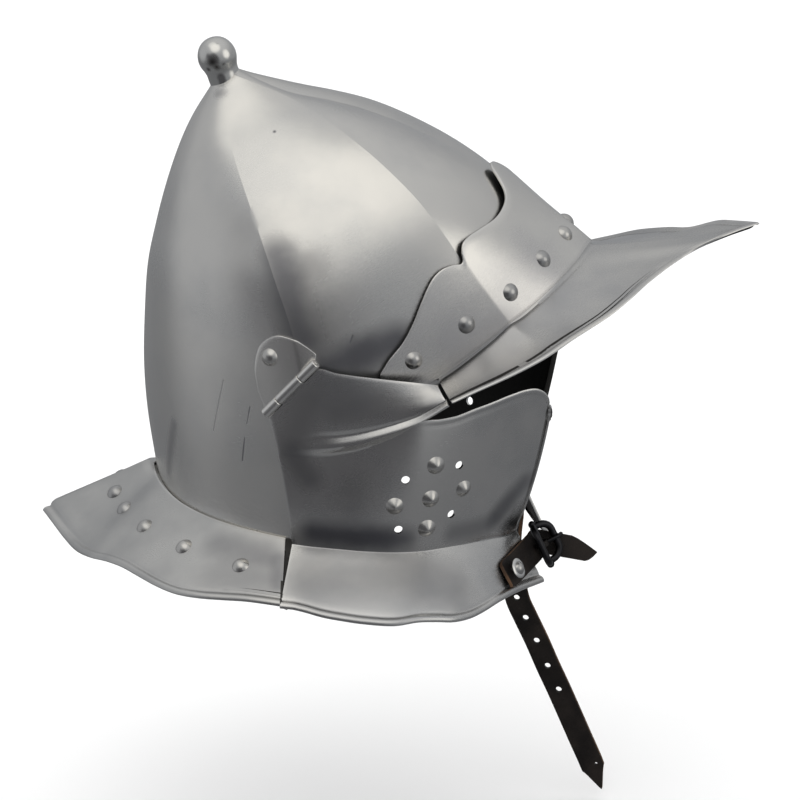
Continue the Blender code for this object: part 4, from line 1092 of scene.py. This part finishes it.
def makeCheek():
    h = hingeShape
    made = plate("cheek_sheet_right", cheekGrids(), cheekShape["wall"], (cheekSteel, insideSteel),
                 cheekShape["within"], inside=True)
    bpy.context.view_layer.update()
    bosses = [faceHit(made, x, z) for x, z in cheekShape["bosses"]]
    holes = [faceHit(made, x, z) for x, z in cheekShape["holes"]]
    collarSpot = faceHit(made, *cheekShape["tabSpot"])
    low, high = h["splits"][0] + h["slit"], h["splits"][1] - h["slit"]
    for a, b in ((-0.2, low), (high, 1.2)):
        clearBarrel(made, a, b)
    punch(made, [p for p, n in holes], [n for p, n in holes], cheekShape["holeRadius"])
    roundShading(made, 50)
    knuckle = rod("knuckle_right", hingeAt(low), hingeAt(high), h["knuckle"], h["sides"], cheekSteel,
                  h["chamfer"])
    places, ways = zip(*((p - n * 0.05, n) for p, n in bosses))
    domes = onPoints("breath_bosses_right", domeTree, places, ways, {
        "Radius": cheekShape["bossRadius"] * mm, "Rise": cheekShape["bossRise"] * mm, "Roundness": 1.45,
        "Shank radius": cheekShape["bossShank"] * mm, "Tail radius": cheekShape["bossShank"] * mm,
        "Reach": cheekShape["bossReach"] * mm, "Seed": 7, "Material": rivetSteel})
    others = []
    for piece in (made, knuckle, domes):
        others.append(otherSide(piece, piece.name.replace("right", "left")))
        standFor(piece, "right_cheek", "cheek_right")
        standFor(others[-1], "left_cheek", "cheek_left")
    return others[0], collarSpot


cheekLeft, collarSpot = makeCheek()
print("cheeks made")

# Hinges.
# Columns of the leaf's outline: place across the skull and row, at the barrel then at its arc.
leafStations = (
    (2.13, 7.5, 2.16, 7.2), (2.1, 7.4, 2.165, 6.8), (2.06, 7.28, 2.13, 6.36),
    (2.02, 7.15, 2.06, 6.16), (1.98, 7.02, 2.0, 6.26), (1.94, 6.92, 1.955, 6.48),
    (1.915, 6.86, 1.905, 6.76),
)


def makeHinges():
    rows = []
    keyed = [tableAt(leafStations, 6 * k / 36) for k in range(37)]
    for f in spread((0, 1), (10,)):
        rows.append([skinPoint(a + (c - a) * f, b + (d - b) * f, leafOut) for a, b, c, d in keyed])
    leaf = plate("leaf_sheet_right", [rows], hingeShape["leafWall"], (plateSteel,), skullShape["centre"])
    h = hingeShape
    low, high = h["splits"]
    clearBarrel(leaf, low, high)
    roundShading(leaf, 50)
    knuckles = [rod("knuckle", hingeAt(a), hingeAt(b), h["knuckle"], h["sides"], plateSteel, h["chamfer"])
                for a, b in ((0, low), (high, 1))]
    knuckles = merged("leaf_knuckles_right", knuckles, (plateSteel,))
    pin = rod("hinge_pin_shape_right", hingeAt(-0.012), hingeAt(1.012), h["pin"], 24, rivetSteel, 0.25)
    for piece, node in ((leaf, "hinge_leaf_right"), (knuckles, "hinge_leaf_right"), (pin, "hinge_pin_right")):
        other = otherSide(piece, piece.name.replace("right", "left"))
        for one, which in ((piece, node), (other, node.replace("right", "left"))):
            standFor(one, "helmet", which)


makeHinges()

# Rivets of the plates.

rivetShape = {
    "radius": 4.5, "rise": 2.5, "leafAt": (2.1, 6.6),
    "reaches": {"brow_rivets": 6.2, "neck_rivets": 5.6, "leaf_rivets": 4.2},     # down to the tail
}


def makeRivets():
    sets = {"brow_rivets": [], "neck_rivets": [], "leaf_rivets": []}
    nodes = {key: [] for key in sets}
    for number, (across, row) in enumerate(browShape["rivets"], 1):
        sets["brow_rivets"].append((skinPoint(across, row, browOut), skinNormal(across, row)))
        nodes["brow_rivets"] += [f"brow_rivet_{side}_{number}" for side in ("right", "left")]
    for number, where in enumerate(neckShape["rivets"], 1):
        inner = skinPoint(where, 9)
        reach = neckShape["rivetReach"]
        share = reach / np.linalg.norm(neckRim(where) - inner)
        top = neckPoint(where, reach, (neckShape["gap"] + neckShape["wall"]) * (1 - share) + neckKeel(where))
        sets["neck_rivets"].append((top, neckUp(where)))
        nodes["neck_rivets"] += [f"neck_rivet_{side}_{number}" for side in ("right", "left")]
    across, row = rivetShape["leafAt"]
    sets["leaf_rivets"].append((skinPoint(across, row, leafOut), skinNormal(across, row)))
    nodes["leaf_rivets"] = ["leaf_rivet_right", "leaf_rivet_left"]
    for name, spots in sets.items():
        both = spots + [(p * flipY, n * flipY) for p, n in spots]
        made = onPoints(name, domeTree, [p for p, n in both], [n for p, n in both], {
            "Radius": rivetShape["radius"] * mm, "Rise": rivetShape["rise"] * mm, "Roundness": 2.4,
            "Reach": rivetShape["reaches"][name] * mm, "Seed": 5, "Material": rivetSteel})
        standFor(made, "helmet", *nodes[name])


makeRivets()
print("hinges and rivets made")

# Buckle tab on the right collar.

tabShape = {
    # flat by this much each side of the rivet, opening this far before the buckle's bar
    "seat": 5.6, "underlaySeat": 5.2, "opens": 5,
    "corner": 4.0, "slotHalf": 1.35, "buckleCorner": 5.6, "prongEye": 1.15,
    "tipRows": ((0.25, 0.86), (0.5, 0.62), (0.72, 0.38), (0.88, 0.18), (1, 0.04)),   # way to the tip, width
    "width": 14.5, "leather": 1.5, "tail": 7.8, "twist": 0.06, "tailLift": 1.0, "tailTilt": 0.06,
    "stackLift": 0.85, "underlay": 1.6, "underlayWidth": 15, "layerGap": 0.16,
    "buckleSpot": (98.1, -30.1, -94.6), "underlayTip": (130, -18, -101.6),
    "bar": 1.3, "wire": 1.9, "halfWidth": 9.9, "halfLength": 7.6, "bow": 4.7, "knob": 2.0,
    "prong": 1.0, "prongReach": 9.4, "washer": 5.2, "washerWall": 0.8, "washerHole": 2.0, "washerLift": 0.12,
    "rivetHead": 3.4, "rivetRise": 1.9, "rivetShank": 1.7, "rivetTail": 3.0, "rivetBelow": 3.2,
}


def tabFrame():
    place, normal = collarSpot
    along = unit(np.array(tabShape["buckleSpot"]) - place)
    off = unit(normal - along * (normal @ along))
    off = unit(off + np.cross(off, along) * tabShape["twist"])
    return place, along, unit(np.cross(off, along)), off


tabPlace, tabAlong, tabSide, tabOff = tabFrame()
tabLength = float(np.linalg.norm(np.array(tabShape["buckleSpot"]) - tabPlace))
tabMiddle = (tabShape["stackLift"] + tabShape["underlay"] + tabShape["layerGap"] * 1.5 + tabShape["leather"])
barSpot = tabPlace + tabAlong * tabLength + tabOff * tabMiddle


def strip(name, path, width, wall, awayFrom, tip=None, finer=4, tipRows=(), corner=0, cut=None):
    # a leather strip along middle-line points with their sideways directions
    points = np.array([p for p, side in path])
    sides = np.array([side for p, side in path])
    rows = []
    last = len(path) - 1
    for k in range(last * finer + 1):
        p, side = tableAt(points, k / finer), unit(tableAt(sides, k / finer))
        rows.append([p + side * width * f for f in (-0.5, -0.4, -0.25, 0, 0.25, 0.4, 0.5)])
    gone = np.cumsum([0] + [np.linalg.norm(b[3] - a[3]) for a, b in zip(rows, rows[1:])])
    for row, near in zip(rows, np.minimum(gone, gone[-1] - gone if tip is None else gone)):
        if near < corner:      # rounded corners at the strip's free ends
            less = (corner - math.sqrt(max(corner ** 2 - (corner - near) ** 2, 0))) / (width / 2)
            for k, p in enumerate(row):
                row[k] = row[3] + (p - row[3]) * (1 - less) if k != 3 else p
    if tip is not None:
        end, side = np.array(tip, float), sides[-1]
        start = points[-1]
        for share, wide in tipRows:
            p = start + (end - start) * share
            rows.append([p + side * width * f * wide for f in (-0.5, -0.4, -0.25, 0, 0.25, 0.4, 0.5)])
    return plate(name, [rows], wall, (darkLeather, cut or cutLeather), awayFrom, edge=0.25)


def makeTab():
    t = tabShape
    tight, wide = t["layerGap"] / 2 + t["leather"], t["bar"] + 0.3 + t["leather"]
    seat, opens = t["seat"], tabLength - t["opens"]
    upper = [(-t["tail"], tight), (-seat, tight), (0, tight), (seat, tight), (opens, wide - 0.25)]
    bend = [(tabLength + wide * math.sin(a), wide * math.cos(a)) for a in np.radians(range(0, 181, 18))]
    lower = [(s, -h) for s, h in reversed(upper)]
    path = [(tabPlace + tabAlong * s + tabOff * (tabMiddle + h), tabSide) for s, h in upper + bend + lower]
    tilt = unit(tabSide - tabOff * t["tailTilt"])
    for end in (0, -1):
        path[end] = (path[end][0] + tabOff * t["tailLift"], tilt)
    tab = strip("buckle_tab_leather", path, t["width"], t["leather"], (0, 0, 0), corner=t["corner"],
                cut=darkLeather)
    half = tabSide * t["slotHalf"]
    slot = rod("slot", barSpot - half, barSpot + half, wide + 0.7, 32, darkLeather)
    joinBy(tab, slot, "DIFFERENCE")
    roundShading(tab, 50)
    spots = [tabPlace + tabAlong * s + tabOff * (tabMiddle - h - t["layerGap"])
             for s, h in ((-t["tail"], tight), (-seat, tight), (t["underlaySeat"], tight),
                          (opens, wide - 0.2), (tabLength - 1, wide), (tabLength + t["opens"], wide))]
    tip = np.array(t["underlayTip"], float)
    start = spots[-1]
    spots += [start + (tip - start) * f + tabOff * 0.6 * math.sin(math.pi * f) for f in (0.3, 0.66)]
    path = [(spots[0] + tabOff * t["tailLift"], tilt)] + [(p, tabSide) for p in spots[1:]]
    under = strip("underlay_leather", path, t["underlayWidth"], t["underlay"], tabPlace - tabOff * 400, tip,
                  corner=t["corner"], tipRows=t["tipRows"])
    for made, node in ((tab, "buckle_tab"), (under, "buckle_underlay")):
        standFor(made, "right_cheek", node)


def tube(name, points, radius, surface, closed=True, sides=6):
    line = bpy.data.curves.new(name, "CURVE")
    line.dimensions = "3D"
    line.bevel_depth = radius * mm
    line.bevel_resolution = sides
    line.use_fill_caps = not closed
    spline = line.splines.new("POLY")
    spline.points.add(len(points) - 1)
    for made, place in zip(spline.points, points):
        made.co = (*(Vector(place) * mm), 1)
    spline.use_cyclic_u = closed
    holder = bpy.data.objects.new(name, line)
    bpy.context.scene.collection.objects.link(holder)
    mesh = bpy.data.meshes.new_from_object(holder.evaluated_get(bpy.context.evaluated_depsgraph_get()))
    bpy.data.objects.remove(holder)
    bpy.data.curves.remove(line)
    work = bmesh.new()
    work.from_mesh(mesh)
    bmesh.ops.remove_doubles(work, verts=work.verts, dist=0.004 * mm)
    bmesh.ops.recalc_face_normals(work, faces=work.faces)
    work.to_mesh(mesh)
    work.free()
    mesh.name = name
    return roundShading(addObject(name, mesh, surface), 50)


def makeBuckle():
    t = tabShape
    corner = t["buckleCorner"]
    points = []
    for quarter, (s, w) in enumerate(((1, 1), (-1, 1), (-1, -1), (1, -1))):
        for k in range(7):
            a = math.radians(90 * quarter + 15 * k)
            points.append((s * (t["halfLength"] - corner) + corner * math.cos(a),
                           w * (t["halfWidth"] - corner) + corner * math.sin(a)))
    full = []
    for k, (u, v) in enumerate(points):
        full.append(barSpot + tabAlong * u + tabSide * v + tabOff * (t["bow"] * abs(u) / t["halfLength"]))
        if u * points[(k + 1) % len(points)][0] < 0:
            full.append(barSpot + tabSide * (t["halfWidth"] if v > 0 else -t["halfWidth"]))
    ring = tube("ring", full, t["wire"], blackIron)
    reach = t["halfWidth"] + 1
    bar = rod("bar", barSpot - tabSide * reach, barSpot + tabSide * reach, t["bar"], 24, blackIron)
    parts = [ring, bar]
    for way in (1, -1):
        r = t["knob"]
        ball = [(r * math.sin(a), r * math.cos(a)) for a in np.radians(np.linspace(0, 180, 13))]
        ball[0], ball[-1] = (0, r), (0, -r)
        knobPlace = placeFrom(barSpot + tabSide * way * (reach + 0.6), tabSide, tabOff)
        parts.append(turned("knob", ball, 24, knobPlace, blackIron))
    made = merged("buckle_iron", parts, (blackIron,))
    standFor(made, "buckle", "buckle_frame")
    inner, outer, half = t["bar"] + 0.2, t["bar"] + 1.7, t["prongEye"]
    loop = turned("loop", ((inner, half), (outer, half), (outer, -half), (inner, -half), (inner, half)), 32,
                  placeFrom(barSpot, tabSide, tabOff), blackIron)
    tip = t["bow"] + t["wire"] + t["prong"] + 0.3
    # from the loop up over the frame: along the tab, then off it
    route = ((1.6, 1.3), (5, tip - 1.6), (8.6, tip), (t["prongReach"], tip - 0.5))
    keys = [barSpot + tabAlong * far + tabOff * high for far, high in route]
    shaft = tube("shaft", [tableAt(keys, k / 5) for k in range(16)], t["prong"], blackIron, False)
    made = merged("prong_iron", [loop, shaft], (blackIron,))
    standFor(made, "prong", "buckle_prong")


def washerProfile(wall):
    t = tabShape
    hole, out = t["washerHole"], t["washer"]
    return ((hole, wall), (out - 1.6, wall), (out - 0.6, wall * 0.85), (out, wall * 0.35), (out, 0),
            (hole, 0), (hole, wall))


def addFastener(name, foot, way, reach, body):
    # a washer on the leather or steel, and its rivet's domed head and tail
    t = tabShape
    profile = washerProfile(t["washerWall"])
    ring = turned(f"{name}_washer_ring", profile, 40, placeFrom(foot, way), brightSteel)
    standFor(ring, body, f"{name}_washer")
    head = onPoints(f"{name}_rivet_head", domeTree, [foot + way * t["washerWall"]], [way], {
        "Radius": t["rivetHead"] * mm, "Rise": t["rivetRise"] * mm, "Roundness": 2.4,
        "Shank radius": t["rivetShank"] * mm, "Tail radius": t["rivetTail"] * mm,
        "Reach": reach * mm, "Seed": 3, "Material": rivetSteel})
    standFor(head, body, f"{name}_rivet")


makeTab()
makeBuckle()
stack = tabMiddle + tabShape["layerGap"] / 2 + tabShape["leather"]
addFastener("tab", tabPlace + tabOff * (stack + tabShape["washerLift"]), tabOff,
            stack + tabShape["rivetBelow"], "right_cheek")
print("tab and buckle made")

# Long strap under the left collar.

strapShape = {
    "width": 13, "leather": 2.2,
    # the end inside the collar: its tail past the rivet, its gap to the steel, and where it bends away
    "root": 9, "rootGap": 0.6, "rootTilt": 0.085, "rootLift": 0.4, "bendFrom": 1.5, "bendTo": (9, 2),
    "washerLift": 0.35, "rivetReach": 6.6,
    "holes": ((85.7, 46.9, -153.8), (90.7, 46, -165), (96.8, 45, -177.7), (102.9, 44, -191.7),
              (109.1, 43, -205)),
    "through": (0.1, 1, 0.05),      # the way the holes are punched
    "tipRows": ((0.3, 0.98), (0.36, 0.86), (0.5, 0.66), (0.7, 0.42), (0.88, 0.2), (1, 0.04)),
    "endHole": (130, 42, -247.5), "holeRadius": 1.7, "endHoleRadius": 0.9,
    "tip": (133.2, 42, -262.5),
}
strapPath = (
    (84.4, 48.5, -121), (83.8, 48, -133), (84.1, 47.5, -144), (86.2, 46.8, -155), (90.7, 46, -165),
    (96.8, 45, -177.7), (102.9, 44, -191.7), (109.1, 43, -205), (115, 42.4, -218.5), (120.8, 42, -232),
    (126.4, 42, -245),
)


def makeStrap():
    s = strapShape
    foot, off, way = tabPlace * flipY, tabOff * flipY, collarSpot[1] * flipY
    bpy.context.view_layer.update()
    under = cheekLeft.ray_cast(Vector(foot - off * 12) * mm, Vector(off))[1]
    rootTop = np.array(under) / mm - off * s["rootGap"]
    down = unit(np.array(strapPath[0]) - rootTop)
    down = unit(down - off * (down @ off))
    side = unit(np.cross(off, down) + off * s["rootTilt"])
    far, away = s["bendTo"]
    path = [(rootTop - down * s["root"] + off * s["rootLift"], side), (rootTop + down * s["bendFrom"], side),
            (rootTop + down * far - off * away, side)]
    steps = [np.array(p, float) for p in strapPath]
    for k, p in enumerate(steps):
        ahead = steps[min(k + 1, len(steps) - 1)] - steps[max(k - 1, 0)]
        flat = unit(np.cross(s["through"], ahead))
        flat = flat if flat @ side > 0 else -flat
        share = min(1.0, (k + 1) / 3)
        path.append((p, unit(side * (1 - share) + flat * share)))
    strap = strip("strap_leather", path, s["width"], s["leather"], (100, -4000, -180), s["tip"],
                  tipRows=s["tipRows"])
    punch(strap, s["holes"], [s["through"]] * len(s["holes"]), s["holeRadius"])
    punch(strap, [s["endHole"]], [s["through"]], s["endHoleRadius"])
    roundShading(strap, 50)
    standFor(strap, "left_cheek", "long_strap")
    addFastener("strap", foot + way * s["washerLift"], way, s["rivetReach"], "left_cheek")


makeStrap()
print("strap made")

# Floor, world and lights.

lightSettings = {
    "key": {"place": (-0.5, -1.3, 2.2), "aim": (0, 0, 0), "size": (1.6, 1.6), "power": 6},
    "floorHeight": -0.268,
    "floorTone": (0.95, 0.95, 0.95),
    "ambient": 1.2,
    "low": (0.2, 0.205, 0.215), "level": (0.38, 0.39, 0.405), "high": (0.66, 0.665, 0.67),
    # what the steel mirrors: azimuth and height in degrees, inner and outer half angle, tone
    "cards": (
        ("rear wall", 178, 12, 12, 42, (0.5, 0.51, 0.525)),
        ("camera side flag", -103, -4, 22, 38, (0.085, 0.085, 0.092)),
        ("zenith flag", -60, 84, 3, 12, (0.4, 0.41, 0.42)),
        ("rear softbox", -165, 68, 10, 24, (0.98, 0.975, 0.95)),
        ("rear flag", -138, 6, 4, 17, (0.14, 0.14, 0.15)),
        ("front softbox", -22, 20, 11, 26, (1.25, 1.23, 1.18)),
        ("overhead softbox", -100, 61, 14, 34, (1.22, 1.2, 1.15)),
    ),
}


def makeFloor():
    mesh = bpy.data.meshes.new("floor")
    h, s = lightSettings["floorHeight"], 12
    mesh.from_pydata([(-s, -s, h), (s, -s, h), (s, s, h), (-s, s, h)], [], [(0, 1, 2, 3)])
    surface = bpy.data.materials.new("pale floor")
    surface.use_nodes = True
    shader = surface.node_tree.nodes["Principled BSDF"]
    shader.inputs["Base Color"].default_value = (*lightSettings["floorTone"], 1)
    shader.inputs["Roughness"].default_value = 0.9
    floor = addObject("floor", mesh, surface)
    floor.visible_glossy = False


def wayOf(azimuth, height):
    a, h = math.radians(azimuth), math.radians(height)
    return Vector((math.cos(a) * math.cos(h), math.sin(a) * math.cos(h), math.sin(h)))


def makeWorld():
    # an even white room for the eye and the floor, and softboxes and flags for the steel
    world = bpy.data.worlds.new("studio")
    bpy.context.scene.world = world
    world.use_nodes = True
    tree = world.node_tree
    where = tree.nodes.new("ShaderNodeTexCoord").outputs["Generated"]
    up = addNode(tree, "ShaderNodeSeparateXYZ", {0: where}).outputs[2]
    low, level, high = ((*lightSettings[name], 1) for name in ("low", "level", "high"))
    tone = blendColor(tree, ramp(tree, up, -0.4, 0.05), low, level)
    tone = blendColor(tree, ramp(tree, up, 0.1, 0.95), tone, high)
    for name, azimuth, height, inner, outer, level in lightSettings["cards"]:
        facing = vectorMaths(tree, "DOT_PRODUCT", where, wayOf(azimuth, height))
        edges = (math.cos(math.radians(angle)) for angle in (outer, inner))
        mask = ramp(tree, facing, *edges)
        mask.node.label = name
        tone = blendColor(tree, mask, tone, (*level, 1))
    ray = tree.nodes.new("ShaderNodeLightPath")
    white = (lightSettings["ambient"],) * 3 + (1,)
    feed(tree, tree.nodes["Background"], {
        "Color": blendColor(tree, ray.outputs["Is Glossy Ray"], white, tone)})


def areaLight(name, place, aim, size, power):
    data = bpy.data.lights.new(name, "AREA")
    data.shape = "RECTANGLE"
    data.size, data.size_y = size
    data.energy = power
    light = bpy.data.objects.new(name, data)
    bpy.context.scene.collection.objects.link(light)
    way = Vector(aim) - Vector(place)
    light.matrix_world = Matrix.Translation(Vector(place)) @ way.to_track_quat("-Z", "Y").to_matrix().to_4x4()
    light.visible_glossy = False


makeFloor()
makeWorld()
areaLight("key softbox", **lightSettings["key"])
bpy.context.scene.view_settings.view_transform = "Standard"
print("floor and lights made")
